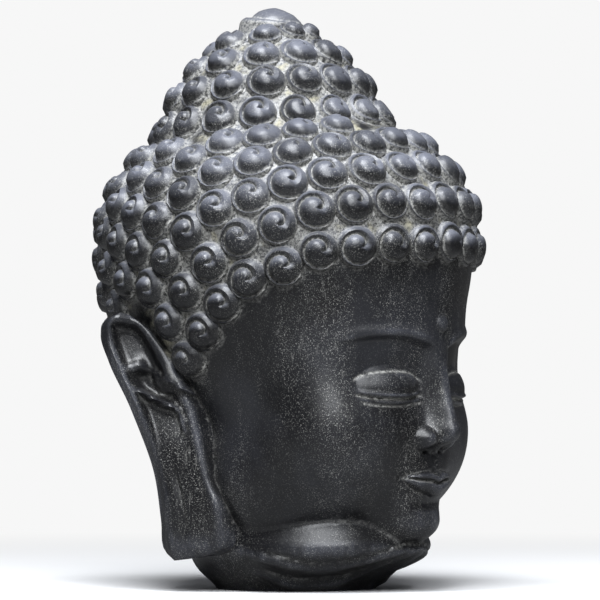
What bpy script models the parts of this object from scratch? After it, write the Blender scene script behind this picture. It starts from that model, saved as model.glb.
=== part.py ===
# A stone head of the Buddha with a short neck, cut flat below, that stands by its own weight.
# One solid: the head with its cap of snail curls, the topknot, both long ears and the neck.
# The front looks along -Y and the flat base lies on z = 0.
import math

import bmesh
import bpy
import numpy as np

# Driving dimension, in metres. Everything below it is a share of the height.
HEIGHT = 0.50

# The head is fuller than the canon below: its width and depth are taken this many times.
GIRTH = 1.045

# The face: three even thirds from the hairline to the chin.
CHIN = 0.075
HAIRLINE = 0.575
THIRD = (HAIRLINE - CHIN) / 3
BROW = HAIRLINE - THIRD
NOSE = BROW - THIRD
MOUTH = NOSE - THIRD / 3
EYE = BROW - 0.37 * THIRD
EYE_OUT = 0.093
EYE_HALF = 0.060
MOUTH_HALF = 0.064

# The skull under the hair, and the upright line inside the head that its skin is seen from.
SKULL_HALF_WIDTH = 0.290
SKULL_HALF_DEPTH = 0.316
SKULL_MIDDLE = 0.600
SKULL_RISE = 0.232
SKULL_DROP = 0.400
AXIS_Y = -0.030
AXIS_LOW = 0.060
AXIS_HIGH = SKULL_MIDDLE

# The topknot, a bell that stands a little behind the middle.
KNOT_Y = 0.030
KNOT_RADIUS = 0.182
KNOT_FOOT = 0.760
KNOT_RISE = 0.226

# The curls: radius and height of one, the steps along and between rows.
CURL_RADIUS = 0.0315
CURL_HEIGHT = 0.020
CURL_STEP = 0.0665
ROW_STEP = 0.0592
CURL_RING = 0.62
KNOT_ROWS = ((0.803, 17), (0.860, 15), (0.907, 11), (0.943, 7))
KNOT_ROW_SLOPE = 0.09
KNOB_RADIUS = 0.048
KNOB_HEIGHT = 0.015

# Heights of the lowest row of curls by the turn from the front, in degrees.
LOWEST_ROW = (
    (0, 0.615), (29, 0.604), (51, 0.577), (62, 0.555), (72, 0.520), (79, 0.475),
    (86, 0.415), (93, 0.372), (105, 0.345), (120, 0.325), (140, 0.305), (180, 0.290),
)

# The neck: half width, reach to the front and to the back by height.
NECK_WIDTH = ((0.0, 0.131), (0.012, 0.143), (0.030, 0.164), (0.065, 0.189), (0.100, 0.184), (0.160, 0.168))
NECK_FRONT = ((0.0, 0.145), (0.012, 0.154), (0.030, 0.178), (0.070, 0.247), (0.100, 0.240), (0.160, 0.190))
NECK_BACK = ((0.0, 0.113), (0.012, 0.124), (0.030, 0.142), (0.065, 0.162), (0.160, 0.180))
NECK_TOP = 0.300
# Heights of the two folds and of the crease under the jaw by the turn from the front, in degrees.
LOW_FOLD = ((0, 0.066), (6, 0.053), (18, 0.026), (45, 0.010), (66, 0.012), (85, 0.034), (180, 0.034))
HIGH_FOLD = ((0, 0.074), (15, 0.058), (46, 0.036), (76, 0.056), (90, 0.070), (180, 0.070))
JAW_CREASE = ((0, 0.084), (25, 0.068), (47, 0.066), (74, 0.084), (105, 0.130), (180, 0.130))
FOLD_HEIGHT = 0.011
FOLD_HALF = 0.0095

# The ear on the head's right: front and back edge from the lobe's end to the top.
EAR_FRONT = (
    (0.00, 0.226, 0.011, 0.060), (0.05, 0.219, -0.011, 0.074), (0.15, 0.222, -0.017, 0.123), (0.35, 0.228, 0.005, 0.195),
    (0.55, 0.232, 0.025, 0.281), (0.75, 0.238, 0.038, 0.346), (0.88, 0.248, 0.060, 0.414), (0.95, 0.256, 0.078, 0.443), (1.00, 0.268, 0.104, 0.465),
)
EAR_BACK = (
    (0.00, 0.240, 0.062, 0.053), (0.05, 0.248, 0.075, 0.070), (0.15, 0.255, 0.077, 0.120), (0.35, 0.262, 0.088, 0.209),
    (0.55, 0.280, 0.116, 0.308), (0.75, 0.298, 0.147, 0.387), (0.88, 0.302, 0.161, 0.435), (0.95, 0.298, 0.156, 0.457), (1.00, 0.284, 0.136, 0.471),
)
EAR_THICKNESS = 0.034
EAR_ROOT = 0.30
EAR_LEAN = (0.08, 0.30, 0.95)
EAR_ACROSS = 9
EAR_ALONG = 20

# Longest wanted triangle edges, on plain skin and on the finer parts of the face.
PLAIN_STEP = 0.040
NECK_STEP = 0.030
FACE_STEP = 0.028


def ease(low, high, t):
    """0 up to low, 1 from high on, smooth between."""
    t = np.clip((t - low) / (high - low), 0, 1)
    return t * t * (3 - 2 * t)


def mound(t):
    """A soft hill of width 1 and height 1."""
    return np.clip(1 - t * t, 0, 1) ** 2


def bead(t):
    """A narrow round hill, 1 in the middle."""
    return np.exp(-t * t)


def curve(keys, t):
    """A smooth curve through a few (place, value) keys, flat beyond its ends."""
    place, value = np.array(keys, float).T
    slope = np.gradient(value, place)
    k = np.clip(np.searchsorted(place, t) - 1, 0, len(place) - 2)
    step = place[k + 1] - place[k]
    u = np.clip((t - place[k]) / step, 0, 1)
    start = (1 + 2 * u) * (1 - u) ** 2 * value[k] + u * (1 - u) ** 2 * step * slope[k]
    end = u * u * (3 - 2 * u) * value[k + 1] + u * u * (u - 1) * step * slope[k + 1]
    return start + end


def lump(p, centre, radii):
    """Rough distance from the points p to an ellipsoid, negative inside."""
    q = (p - np.array(centre)) / np.array(radii)
    reach = np.linalg.norm(q, axis=1)
    steep = np.linalg.norm(q / np.array(radii), axis=1)
    return reach * (reach - 1) / np.maximum(steep, 1e-9)


def merge(a, b, soft):
    """The union of two distances with a fillet."""
    share = np.clip(0.5 + 0.5 * (b - a) / soft, 0, 1)
    return b + (a - b) * share - soft * share * (1 - share)


def folded(p):
    """The points with the left half laid over the right, so that one lump makes a pair."""
    return np.stack([np.abs(p[:, 0]), p[:, 1], p[:, 2]], axis=1)


def skull(p):
    rise = np.where(p[:, 2:3] > SKULL_MIDDLE, SKULL_RISE, SKULL_DROP)
    sides = np.ones_like(rise)
    radii = np.concatenate([sides * SKULL_HALF_WIDTH, sides * SKULL_HALF_DEPTH, rise], axis=1)
    q = (p - np.array((0, 0, SKULL_MIDDLE))) / radii
    reach = np.linalg.norm(q, axis=1)
    steep = np.linalg.norm(q / radii, axis=1)
    return reach * (reach - 1) / np.maximum(steep, 1e-9)


def topknot(p):
    z = p[:, 2]
    wide = np.hypot(p[:, 0], p[:, 1] - KNOT_Y) / KNOT_RADIUS
    tall = np.where(z > KNOT_FOOT, (z - KNOT_FOOT) / KNOT_RISE, (KNOT_FOOT - z) / KNOT_RISE)
    return (wide ** 1.18 + tall ** 2.1 - 1) * 0.12


def turned(p):
    """How far the points p are turned from the front, in degrees, the same on both sides."""
    return np.degrees(np.arctan2(np.abs(p[:, 0]), AXIS_Y - p[:, 1]))


def neck(p):
    """A short round neck with two folds under the jaw."""
    z = p[:, 2]
    half = curve(NECK_WIDTH, z)
    front = -curve(NECK_FRONT, z)
    back = curve(NECK_BACK, z)
    middle = (front + back) / 2
    depth = (back - front) / 2
    side = (np.hypot(p[:, 0] / half, (p[:, 1] - middle) / depth) - 1) * np.minimum(half, depth)
    turn = turned(p)
    fade = 1 - ease(68, 92, turn)
    side -= FOLD_HEIGHT * fade * bead((z - curve(LOW_FOLD, turn)) / FOLD_HALF)
    side -= FOLD_HEIGHT * fade * bead((z - curve(HIGH_FOLD, turn)) / FOLD_HALF)
    return -merge(-side, NECK_TOP - z, 0.03)


def face(p):
    """The plain oval of the face, its cheeks, jaw and chin."""
    q = folded(p)
    oval = lump(p, (0, -0.070, 0.410), (0.236, 0.232, 0.270))
    low = lump(p, (0, -0.120, 0.225), (0.172, 0.158, 0.148))
    cheek = lump(q, (0.112, -0.150, 0.265), (0.104, 0.108, 0.120))
    jaw = lump(q, (0.125, -0.045, 0.190), (0.090, 0.110, 0.110))
    chin = lump(p, (0, -0.218, 0.128), (0.064, 0.060, 0.053))
    d = merge(oval, low, 0.06)
    d = merge(d, cheek, 0.05)
    d = merge(d, jaw, 0.05)
    return merge(d, chin, 0.04)


def brows(x, z):
    """The hollows under the brows and the crisp brow edges."""
    arch = np.sin(math.pi * np.clip((x - 0.012) / 0.200, 0, 1)) ** 0.9
    below = BROW + 0.004 + 0.022 * arch - z
    across = ease(0.013, 0.036, x) * (1 - ease(0.125, 0.200, x))
    hollow = ease(0, 0.016, below) * (1 - ease(0.050, 0.155, below))
    return across * (0.004 * mound((below + 0.006) / 0.014) - 0.020 * hollow)


def eyes(x, z):
    """Lowered lids over round eyes, each with a slit, a lower lid and a crease."""
    u = (x - EYE_OUT) / EYE_HALF
    w = (z - EYE - 0.001) / 0.035
    slit = EYE - 0.016 - 0.006 * (1 - u * u)
    crease = EYE - 0.002 + 0.027 * np.sqrt(np.clip(1 - (u / 1.15) ** 2, 0, 1))
    near = 1 - ease(0.85, 1.12, np.abs(u))
    d = 0.020 * np.clip(1 - u * u - w * w, 0, 1) ** 0.7
    d -= 0.0045 * near * bead((z - slit) / 0.0028)
    d += 0.0040 * near * bead((z - slit - 0.006) / 0.0042)
    d += 0.0028 * near * bead((z - slit + 0.007) / 0.0045)
    return d - 0.0030 * near * bead((z - crease) / 0.0030)


def nose(x, z):
    """A straight ridge from the brows to a small round tip, with a wing on each side."""
    height = curve(
        (
            (NOSE - 0.008, 0.0), (NOSE + 0.004, 0.018), (NOSE + 0.014, 0.043), (NOSE + 0.024, 0.050),
            (NOSE + 0.050, 0.043), (NOSE + 0.090, 0.027), (BROW - 0.04, 0.014), (BROW + 0.04, 0.0),
        ), z)
    half = curve(((NOSE - 0.01, 0.020), (NOSE + 0.02, 0.0235), (NOSE + 0.06, 0.0175), (BROW - 0.05, 0.0135),
                  (BROW, 0.016), (BROW + 0.04, 0.030)), z)
    ridge = height / (1 + (x / (0.95 * half)) ** 3.2)
    u = (x - 0.0335) / 0.020
    w = (z - NOSE - 0.0165) / 0.0205
    wing = 0.030 * np.clip(1 - u * u - w * w, 0, 1) ** 0.6
    return -merge(-ridge, -wing, 0.010)


def mouth(x, z):
    """Closed lips with a bow, dimpled corners and the groove that leads up to the nose."""
    s = np.clip(x / MOUTH_HALF, 0, 1)
    line = MOUTH + 0.0065 * s ** 2.2 - 0.0018 * np.cos(math.pi * np.clip(x / 0.024, 0, 1))
    bow = line + (0.0185 - 0.0035 * bead(x / 0.009)) * (1 - s * s) ** 0.8
    pout = line - 0.0245 * (1 - s ** 2.2) ** 0.7
    rise = np.clip((z - line) / np.maximum(bow - line, 1e-4), 0, 1)
    fall = np.clip((line - z) / np.maximum(line - pout, 1e-4), 0, 1)
    upper = np.where(z >= line, np.sin(math.pi * (0.20 + 0.80 * rise)), 0)
    lower = np.where(z < line, np.sin(math.pi * (0.16 + 0.84 * fall)), 0)
    near = 1 - ease(0.80, 1.05, x / MOUTH_HALF)
    d = 0.012 * mound(x / 0.085) * mound((z - MOUTH) / 0.060)
    d += near * (0.0115 * upper + 0.0140 * lower - 0.0050 * bead((z - line) / 0.0026))
    d -= 0.0045 * bead((x - MOUTH_HALF - 0.002) / 0.008) * bead((z - MOUTH - 0.007) / 0.009)
    gutter = ease(NOSE - 0.034, NOSE - 0.022, z) * (1 - ease(NOSE - 0.006, NOSE + 0.004, z))
    return d - 0.0035 * bead(x / 0.0065) * gutter


def relief(x, z):
    """How far the face stands out in front of its plain oval, by half width and height."""
    d = brows(x, z) + eyes(x, z) + nose(x, z) + mouth(x, z)
    d -= 0.0075 * mound(x / 0.055) * mound((z - MOUTH + 0.036) / 0.016)
    d += 0.0120 * mound(x / 0.060) * mound((z - 0.112) / 0.040)
    mark = np.hypot(x, z - BROW - 0.045) / 0.0155
    return d + 0.0105 * np.clip(1 - mark * mark, 0, 1) ** 0.6


def stone(p):
    """Rough distance to the head without its curls and ears, negative inside."""
    p = p / np.array((GIRTH, GIRTH, 1))
    front = ease(0.02, 0.12, -p[:, 1]) * (1 - ease(0.53, 0.56, p[:, 2]))
    carved = p.copy()
    carved[:, 1] += relief(np.abs(p[:, 0]), p[:, 2]) * front
    d = merge(skull(p), topknot(p), 0.022)
    d = merge(d, neck(p), 0.010 + 0.030 * ease(0.12, 0.25, p[:, 2]))
    return merge(d, face(carved), 0.008 + 0.012 * ease(0.12, 0.25, p[:, 2]))


def on_skin(p, middle_y=AXIS_Y):
    """The points moved along their sight lines from the upright line inside the head onto the stone."""
    z = np.clip(p[:, 2], AXIS_LOW, AXIS_HIGH)
    start = np.stack([np.zeros(len(p)), np.full(len(p), middle_y), z], axis=1)
    way = p - start
    way /= np.linalg.norm(way, axis=1)[:, None]
    far = np.full(len(p), 0.06)
    for _ in range(40):
        far = far - 0.8 * np.clip(stone(start + way * far[:, None]), -0.06, 0.06)
    return start + way * far[:, None]


def outward(p):
    """The directions that point straight out of the stone at the points p."""
    step = 0.001
    g = np.empty_like(p)
    for k in range(3):
        d = np.zeros(3)
        d[k] = step
        g[:, k] = stone(p + d) - stone(p - d)
    return g / np.linalg.norm(g, axis=1)[:, None]


def beyond_knot(p):
    return np.hypot(p[:, 0], p[:, 1] - KNOT_Y) > GIRTH * KNOT_RADIUS + 0.45 * CURL_STEP


def spaced(line, step, shift, closed):
    """Even points along a line, about one step apart."""
    if closed:
        line = np.concatenate([line, line[:1]])
    length = np.concatenate([[0], np.cumsum(np.linalg.norm(np.diff(line, axis=0), axis=1))])
    count = max(round(length[-1] / step), 1)
    at = (np.arange(count) + shift) / count * length[-1]
    return np.stack([np.interp(at, length, line[:, k]) for k in range(3)], axis=1)


def cap_rows():
    """Middles of the cap's curls: rows at even distances from the lowest row, curls even along each."""
    turn = np.arange(0, 360, 1.5)
    side = np.minimum(turn, 360 - turn)
    a = np.radians(turn)
    z = curve(LOWEST_ROW, side)
    low = on_skin(np.stack([np.sin(a), AXIS_Y - np.cos(a), z], axis=1))
    levels = 80
    lines = []
    for k in range(levels):
        s = k / (levels - 1)
        reach = 0.31 * (1 - 0.55 * s)
        height = low[:, 2] + (0.86 - low[:, 2]) * s
        lines.append(on_skin(np.stack([np.sin(a) * reach, AXIS_Y - np.cos(a) * reach + 0.06 * s, height], axis=1)))
    lines = np.array(lines)
    chord = np.linalg.norm(lines.reshape(-1, 1, 3) - low[None, ::2], axis=2).min(axis=1)
    arc = 2 * SKULL_HALF_WIDTH * np.arcsin(np.clip(chord / (2 * SKULL_HALF_WIDTH), 0, 1))
    arc = np.maximum.accumulate(arc.reshape(levels, -1), axis=0)
    rows = [spaced(low, CURL_STEP, 0.0, True)]
    for k in range(1, 12):
        want = k * ROW_STEP
        upper = np.clip((arc < want).sum(axis=0), 1, levels - 1)
        every = np.arange(len(turn))
        below = arc[upper - 1, every]
        above = arc[upper, every]
        share = ((want - below) / np.maximum(above - below, 1e-9))[:, None]
        row = lines[upper - 1, every] * (1 - share) + lines[upper, every] * share
        kept = (arc[-1] > want) & beyond_knot(row)
        if kept.all():
            rows.append(spaced(row, CURL_STEP, 0.5 * (k % 2), True))
            continue
        if not kept.any():
            break
        # the row is broken in front by the topknot, so it runs round the back from end to end
        first = np.argmax(kept & ~np.roll(kept, 1))
        part = np.roll(row, -first, axis=0)[:kept.sum()]
        rows.append(spaced(part, CURL_STEP, 0.5, False))
    return np.concatenate(rows)


def knot_rows():
    """Middles of the topknot's curls, row by row, and of the knob on its top."""
    rows = []
    for k, (z, count) in enumerate(KNOT_ROWS):
        a = (np.arange(count) + 0.5 * (k % 2)) * 2 * math.pi / count
        y = KNOT_Y - np.cos(a) * KNOT_RADIUS
        start = np.stack([0 * a, KNOT_Y + 0 * a, z - KNOT_ROW_SLOPE * (y - KNOT_Y)], axis=1)
        way = np.stack([np.sin(a), -np.cos(a), 0 * a], axis=1)
        far = np.full(count, 0.005)
        for _ in range(60):
            far = far - 0.7 * np.clip(stone(start + way * far[:, None]), -0.02, 0.02)
        rows.append(start + way * far[:, None])
    rows.append(np.array([(0.0, KNOT_Y, KNOT_FOOT + KNOT_RISE)]))
    return np.concatenate(rows)


def evened(cap, knot):
    """Curls that stand too close push each other apart, and are laid back on the scalp."""
    home = cap
    for _ in range(24):
        gap = cap[:, None] - np.concatenate([cap, knot])[None]
        far = np.linalg.norm(gap, axis=2)
        near = (far > 1e-6) & (far < 1.12 * CURL_STEP)
        strength = np.where(near, (1.12 * CURL_STEP - far) / np.maximum(far, 1e-6), 0)
        push = (gap * strength[:, :, None]).sum(axis=1) + 0.25 * (home - cap)
        n = outward(cap)
        push -= (push * n).sum(axis=1)[:, None] * n
        cap = on_skin(cap + 0.22 * push)
    return cap


def unrolled(p):
    """The points on a unit ball, stretched so that small shapes keep their form."""
    middle = AXIS_Y + (KNOT_Y - AXIS_Y) * ease(SKULL_MIDDLE, KNOT_FOOT, p[:, 2])
    turn = np.arctan2(p[:, 0], middle - p[:, 1])
    away = np.maximum(np.hypot(p[:, 0], p[:, 1] - middle), 0.004)
    w = (p[:, 2] - 0.375) / 0.27
    w += np.where(p[:, 2] > 0.70, np.maximum(np.log(0.28 / away), 0), 0)
    w -= np.where(p[:, 2] < 0.0, np.maximum(np.log(0.12 / away), 0), 0)
    flat = 1 / np.cosh(w)
    return np.stack([flat * np.sin(turn), -flat * np.cos(turn), np.tanh(w)], axis=1)


def wrapped(points):
    """A closed skin of triangles over the points, as a bmesh whose vertices keep their order."""
    bm = bmesh.new()
    for q in unrolled(points):
        bm.verts.new(q)
    bm.verts.index_update()
    tag = bm.verts.layers.int.new("order")
    for v in bm.verts:
        v[tag] = v.index
    made = bmesh.ops.convex_hull(bm, input=bm.verts[:])
    loose = [v for v in bm.verts if not v.link_faces]
    bmesh.ops.delete(bm, geom=loose, context="VERTS")
    bmesh.ops.recalc_face_normals(bm, faces=bm.faces[:])
    for v in bm.verts:
        v.co = points[v[tag]]
    return bm


def thinned(cap, knot):
    """The cap's curls without those that stand on another curl or where an ear grows."""
    kept = []
    for q in cap:
        others = np.concatenate([np.array(kept).reshape(-1, 3), knot])
        at_ear = abs(q[0]) > 0.15 and ear_root(q[2]) - 0.060 < q[1] < ear_root(q[2]) + 0.060
        if np.linalg.norm(others - q, axis=1).min() > 0.8 * CURL_STEP and not at_ear:
            kept.append(q)
    return np.array(kept)


def ear_root(z):
    """How far back the ear's front edge stands at a height, or far behind the head where there is no ear."""
    if z > EAR_FRONT[-1][3]:
        return 9.0
    return float(curve([(key[3], key[2]) for key in EAR_FRONT[1:]], np.array([z]))[0])


def feature_points():
    """Points along the lines of the face that its edges follow."""
    lines = []
    u = np.linspace(0, 1, 9)
    x = 0.020 + 0.165 * u
    arch = BROW + 0.004 + 0.022 * np.sin(math.pi * np.clip((x - 0.012) / 0.200, 0, 1)) ** 0.9
    lines += [(x, arch + 0.008), (x, arch - 0.002), (x, arch - 0.016)]
    x = EYE_OUT + EYE_HALF * 1.05 * (2 * u - 1)
    s = (x - EYE_OUT) / EYE_HALF
    slit = EYE - 0.016 - 0.006 * (1 - s * s)
    lines += [(x, slit), (x[1:-1], slit[1:-1] + 0.009), (x[1:-1], slit[1:-1] - 0.010)]
    lines += [(x[1:-1], (EYE - 0.002 + 0.027 * np.sqrt(np.clip(1 - s * s / 1.3, 0, 1)))[1:-1])]
    v = np.linspace(0, 1, 10)
    z = NOSE + 0.020 + (BROW + 0.02 - NOSE) * v
    lines += [(0 * v, z), (0.022 + 0 * v, z)]
    lines += [(np.array((0.0, 0.020)), np.array((NOSE + 0.004, NOSE + 0.006)))]
    lines += [(np.array((0.0, 0.024, 0.044)), NOSE - 0.008 + 0 * v[:3])]
    lines += [(np.array((0.033, 0.050, 0.046, 0.060)), NOSE + np.array((0.018, 0.018, 0.036, 0.012)))]
    w = np.linspace(0, 1, 5) * MOUTH_HALF
    s = w / MOUTH_HALF
    line = MOUTH + 0.0065 * s ** 2.2
    lines += [(w, line), (w[:-1], line[:-1] + 0.0095 * (1 - s[:-1] ** 2)), (w[:-1], line[:-1] + 0.022 - 0.01 * s[:-1])]
    lines += [(w[:-1], line[:-1] - 0.013 * (1 - s[:-1] ** 2)), (w[:-1], line[:-1] - 0.030 + 0.012 * s[:-1] ** 2)]
    x = np.concatenate([x for x, z in lines])
    z = np.concatenate([z for x, z in lines])
    right = x > 0.001
    x = np.concatenate([x, -x[right]])
    z = np.concatenate([z, z[right]])
    return on_face(x, z)


def on_face(x, z):
    """The points of the face at half width x and height z."""
    p = np.stack([x, 0 * x - 0.30, z], axis=1)
    for _ in range(3):
        q = on_skin(p)
        p = np.stack([x, q[:, 1], z], axis=1)
    return on_skin(p)


def on_level(a, z):
    """The points of the skin at the turns a, in radians, and the heights z."""
    p = np.stack([0.2 * np.sin(a), AXIS_Y - 0.2 * np.cos(a), z], axis=1)
    for _ in range(5):
        p = on_skin(p)
        p[:, 2] = z
    return on_skin(p)


def lattice(curls):
    """Staggered points over the face, the nape and the neck, clear of the curls, down below the base."""
    rows = []
    count = round(2 * math.pi * 0.19 / NECK_STEP)
    a = np.arange(count) * 360 / count
    stagger = 180 / count
    side = np.minimum(a, 360 - a)
    low = curve(LOW_FOLD, side)
    high = curve(HIGH_FOLD, side)
    crease = curve(JAW_CREASE, side)
    for k, z in enumerate((low * 0 - 0.05, low * 0 - 0.005, low, (low + high) / 2, high, crease, crease + 0.016)):
        rows.append((np.radians(a + stagger * (k % 2)), z))
    z = 0.115
    k = 0
    while z < HAIRLINE + 0.04:
        count = round(2 * math.pi * 0.20 / PLAIN_STEP)
        a = (np.arange(count) + 0.5 * (k % 2)) * 2 * math.pi / count
        rows.append((a, z + 0 * a))
        z += 0.85 * PLAIN_STEP
        k += 1
    a = np.concatenate([row[0] for row in rows])
    z = np.concatenate([row[1] for row in rows])
    p = on_level(a, z)
    bare = p[:, 2] < curve(LOWEST_ROW, turned(p))
    lines = feature_points()
    p = p[bare & (distance_to(p, curls) > 1.35 * CURL_RADIUS) & (distance_to(p, lines) > 0.016)]
    foot = on_skin(np.array([(0.0, AXIS_Y, -0.30)]))
    return np.concatenate([p, lines, foot])


def distance_to(p, marks):
    return np.linalg.norm(p[:, None] - marks[None], axis=2).min(axis=1)


def curl_cells(curls, plain):
    """The valleys round the curls, and a ring of points on each curl."""
    every = np.concatenate([curls, plain])
    bm = wrapped(every)
    tag = bm.verts.layers.int["order"]
    valleys = []
    rings = []
    radius = np.append(np.full(len(curls) - 1, CURL_RADIUS), KNOB_RADIUS)
    for f in bm.faces:
        index = [v[tag] for v in f.verts]
        mine = [i for i in index if i < len(curls)]
        if len(mine) == 3:
            valleys.append(every[index].mean(axis=0))
    for e in bm.edges:
        a, b = [v[tag] for v in e.verts]
        if min(a, b) >= len(curls):
            continue
        both = max(a, b) < len(curls)
        far = np.linalg.norm(every[a] - every[b])
        if both and far < 1.5 * CURL_STEP:
            share = radius[a] / (radius[a] + radius[b])
            valleys.append(every[a] + (every[b] - every[a]) * share)
        for one, other in ((a, b), (b, a)):
            if one < len(curls):
                way = (every[other] - every[one]) / far
                rings.append(every[one] + way * CURL_RING * radius[one])
                if not both:
                    valleys.append(every[one] + way * 1.06 * radius[one])
    bm.free()
    return on_skin(np.array(valleys)), on_skin(np.array(rings))


def refined(bm, curls):
    """Long edges of the face are halved, and the new points laid on the skin."""
    for _ in range(3):
        edges = list(bm.edges)
        middle = np.array([(e.verts[0].co + e.verts[1].co) / 2 for e in edges])
        on_front = (middle[:, 1] < -0.12) & (middle[:, 2] > 0.10) & (np.abs(middle[:, 0]) < 0.20)
        plain = on_front & (distance_to(middle, curls) > 1.5 * CURL_RADIUS)
        long = [e for e, chosen in zip(edges, plain) if chosen and e.calc_length() > 1.4 * FACE_STEP]
        if not long:
            break
        made = bmesh.ops.subdivide_edges(bm, edges=long, cuts=1)
        bmesh.ops.triangulate(bm, faces=[f for f in bm.faces if len(f.verts) > 3])
        new = [v for v in made["geom_inner"] if isinstance(v, bmesh.types.BMVert)]
        for v, q in zip(new, on_skin(np.array([v.co for v in new]))):
            v.co = q


def curl_sizes(curls):
    """Radius and height of every curl: the crowded ones near the top are smaller."""
    gap = np.linalg.norm(curls[:, None] - curls[None], axis=2) + 9 * np.eye(len(curls))
    radius = np.minimum(CURL_RADIUS, 0.50 * gap.min(axis=1))
    height = CURL_HEIGHT * (radius / CURL_RADIUS) ** 0.5
    radius[-1] = KNOB_RADIUS
    height[-1] = KNOB_HEIGHT
    return radius, height


def domed(bm, curls):
    """The skin lifted into a round dome over each curl."""
    radius, height = curl_sizes(curls)
    p = np.array([v.co for v in bm.verts])
    gap = np.linalg.norm(p[:, None] - curls[None], axis=2) / radius[None]
    near = gap.argmin(axis=1)
    s = gap[np.arange(len(p)), near]
    lift = height[near] * np.sqrt(np.clip(1 - s * s, 0, 1))
    for v, q in zip(bm.verts, p + outward(p) * lift[:, None]):
        v.co = q


def ear_relief(s, v):
    """How far the carving stands out of the ear's plain sheet, by the share across and along."""
    rim = np.minimum(np.minimum(1 - s, (1 - v) * 2.2 + 0.04), 9)
    upper = ease(0.46, 0.56, v)
    front_rim = ease(0.70, 0.80, v)
    d = 0.012 * upper * (1 - ease(0.16, 0.30, rim))
    d = np.maximum(d, 0.012 * front_rim * (1 - ease(0.12, 0.26, s)))
    d -= 0.014 * upper * ease(0.20, 0.36, rim) * ease(0.10, 0.24, s) * (1 - ease(0.0, 0.35, 0.62 - v))
    low = np.hypot((s - 0.45) / 0.34, (v - 0.755) / 0.085)
    d -= 0.012 * (1 - ease(0.7, 1.05, low))
    shelf = np.abs(v - 0.825 - 0.03 * (s - 0.5)) / 0.030
    d += 0.013 * bead(shelf) * ease(0.12, 0.3, s) * (1 - ease(0.66, 0.86, s))
    ball = np.hypot((s - 0.36) / 0.17, (v - 0.762) / 0.045)
    d += 0.014 * np.clip(1 - ball * ball, 0, 1)
    ridge = np.abs(v - 0.640 - 0.17 * (s - 0.25)) / 0.026
    d += 0.017 * bead(ridge) * ease(0.10, 0.24, s) * (1 - ease(0.62, 0.80, s))
    drop = np.hypot((s - 0.24) / 0.09, (v - 0.575) / 0.055)
    d += 0.012 * np.clip(1 - drop * drop, 0, 1) ** 0.7
    groove = bead((s - 0.62) / 0.05) * ease(0.06, 0.14, v) * (1 - ease(0.30, 0.42, v))
    edge = np.minimum(1 - s, v * 3.0)
    return d - 0.003 * groove - 0.010 * (1 - ease(0.0, 0.16, edge))


def ear(side):
    """One ear, rooted in the head and standing off it toward the back; side is -1 for the head's right."""
    bm = bmesh.new()
    bmesh.ops.create_grid(bm, x_segments=EAR_ACROSS, y_segments=EAR_ALONG, size=1)
    bmesh.ops.solidify(bm, geom=bm.faces[:], thickness=1)
    p = np.array([v.co for v in bm.verts])
    outer = np.abs(p[:, 2]) < 0.5
    s = (p[:, 0] + 1) / 2 * (1 + EAR_ROOT) - EAR_ROOT
    v = ((p[:, 1] + 1) / 2) ** 0.8
    front = np.stack([curve([(key[0], key[k]) for key in EAR_FRONT], v) for k in (1, 2, 3)], axis=1)
    back = np.stack([curve([(key[0], key[k]) for key in EAR_BACK], v) for k in (1, 2, 3)], axis=1)
    sheet = front + (back - front) * s[:, None]
    way = (back - front) / np.linalg.norm(back - front, axis=1)[:, None]
    facing = np.cross(way, np.array(EAR_LEAN))
    facing /= np.linalg.norm(facing, axis=1)[:, None]
    lift = np.where(outer, ear_relief(np.clip(s, 0, 1), v), -EAR_THICKNESS)
    sheet += facing * (lift - 0.03 * ease(0.0, EAR_ROOT, -s))[:, None]
    sheet *= np.array((side * GIRTH, GIRTH, 1))
    for vert, q in zip(bm.verts, sheet):
        vert.co = q
    bmesh.ops.recalc_face_normals(bm, faces=bm.faces[:])
    bmesh.ops.triangulate(bm, faces=bm.faces[:])
    return bm


def head():
    """The head with its curls, cut flat below."""
    knot = knot_rows()
    curls = np.concatenate([thinned(evened(cap_rows(), knot), knot), knot])
    plain = lattice(curls)
    valleys, rings = curl_cells(curls, plain)
    bm = wrapped(np.concatenate([curls, rings, valleys, plain]))
    refined(bm, curls)
    domed(bm, curls)
    everything = bm.verts[:] + bm.edges[:] + bm.faces[:]
    bmesh.ops.bisect_plane(bm, geom=everything, dist=1e-5, plane_co=(0, 0, 0), plane_no=(0, 0, 1), clear_inner=True)
    rim = [e for e in bm.edges if len(e.link_faces) == 1]
    bmesh.ops.contextual_create(bm, geom=rim)
    bmesh.ops.triangulate(bm, faces=[f for f in bm.faces if len(f.verts) > 3])
    bmesh.ops.recalc_face_normals(bm, faces=bm.faces[:])
    return bm


def placed(bm, name, scale):
    """The bmesh as an object of the scene, at its real size."""
    bmesh.ops.scale(bm, vec=(scale, scale, scale), verts=bm.verts[:])
    mesh = bpy.data.meshes.new(name)
    bm.to_mesh(mesh)
    bm.free()
    made = bpy.data.objects.new(name, mesh)
    bpy.context.scene.collection.objects.link(made)
    return made


def stone_material():
    made = bpy.data.materials.new("dark_stone")
    made.use_nodes = True
    shader = made.node_tree.nodes["Principled BSDF"]
    shader.inputs["Base Color"].default_value = (0.030, 0.031, 0.036, 1)
    shader.inputs["Roughness"].default_value = 0.5
    shader.inputs["Metallic"].default_value = 0.0
    return made


def main():
    for old in list(bpy.data.objects):
        bpy.data.objects.remove(old)
    bm = head()
    top = max(v.co.z for v in bm.verts)
    scale = HEIGHT / top
    body = placed(bm, "buddha_head", scale)
    for side in (-1, 1):
        part = placed(ear(side), "ear", scale)
        union = body.modifiers.new("ear", "BOOLEAN")
        union.operation = "UNION"
        union.solver = "EXACT"
        union.object = part
        bpy.context.view_layer.objects.active = body
        bpy.ops.object.modifier_apply(modifier=union.name)
        bpy.data.objects.remove(part)
    body.data.materials.clear()
    body.data.materials.append(stone_material())


main()
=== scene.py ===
import math

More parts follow.
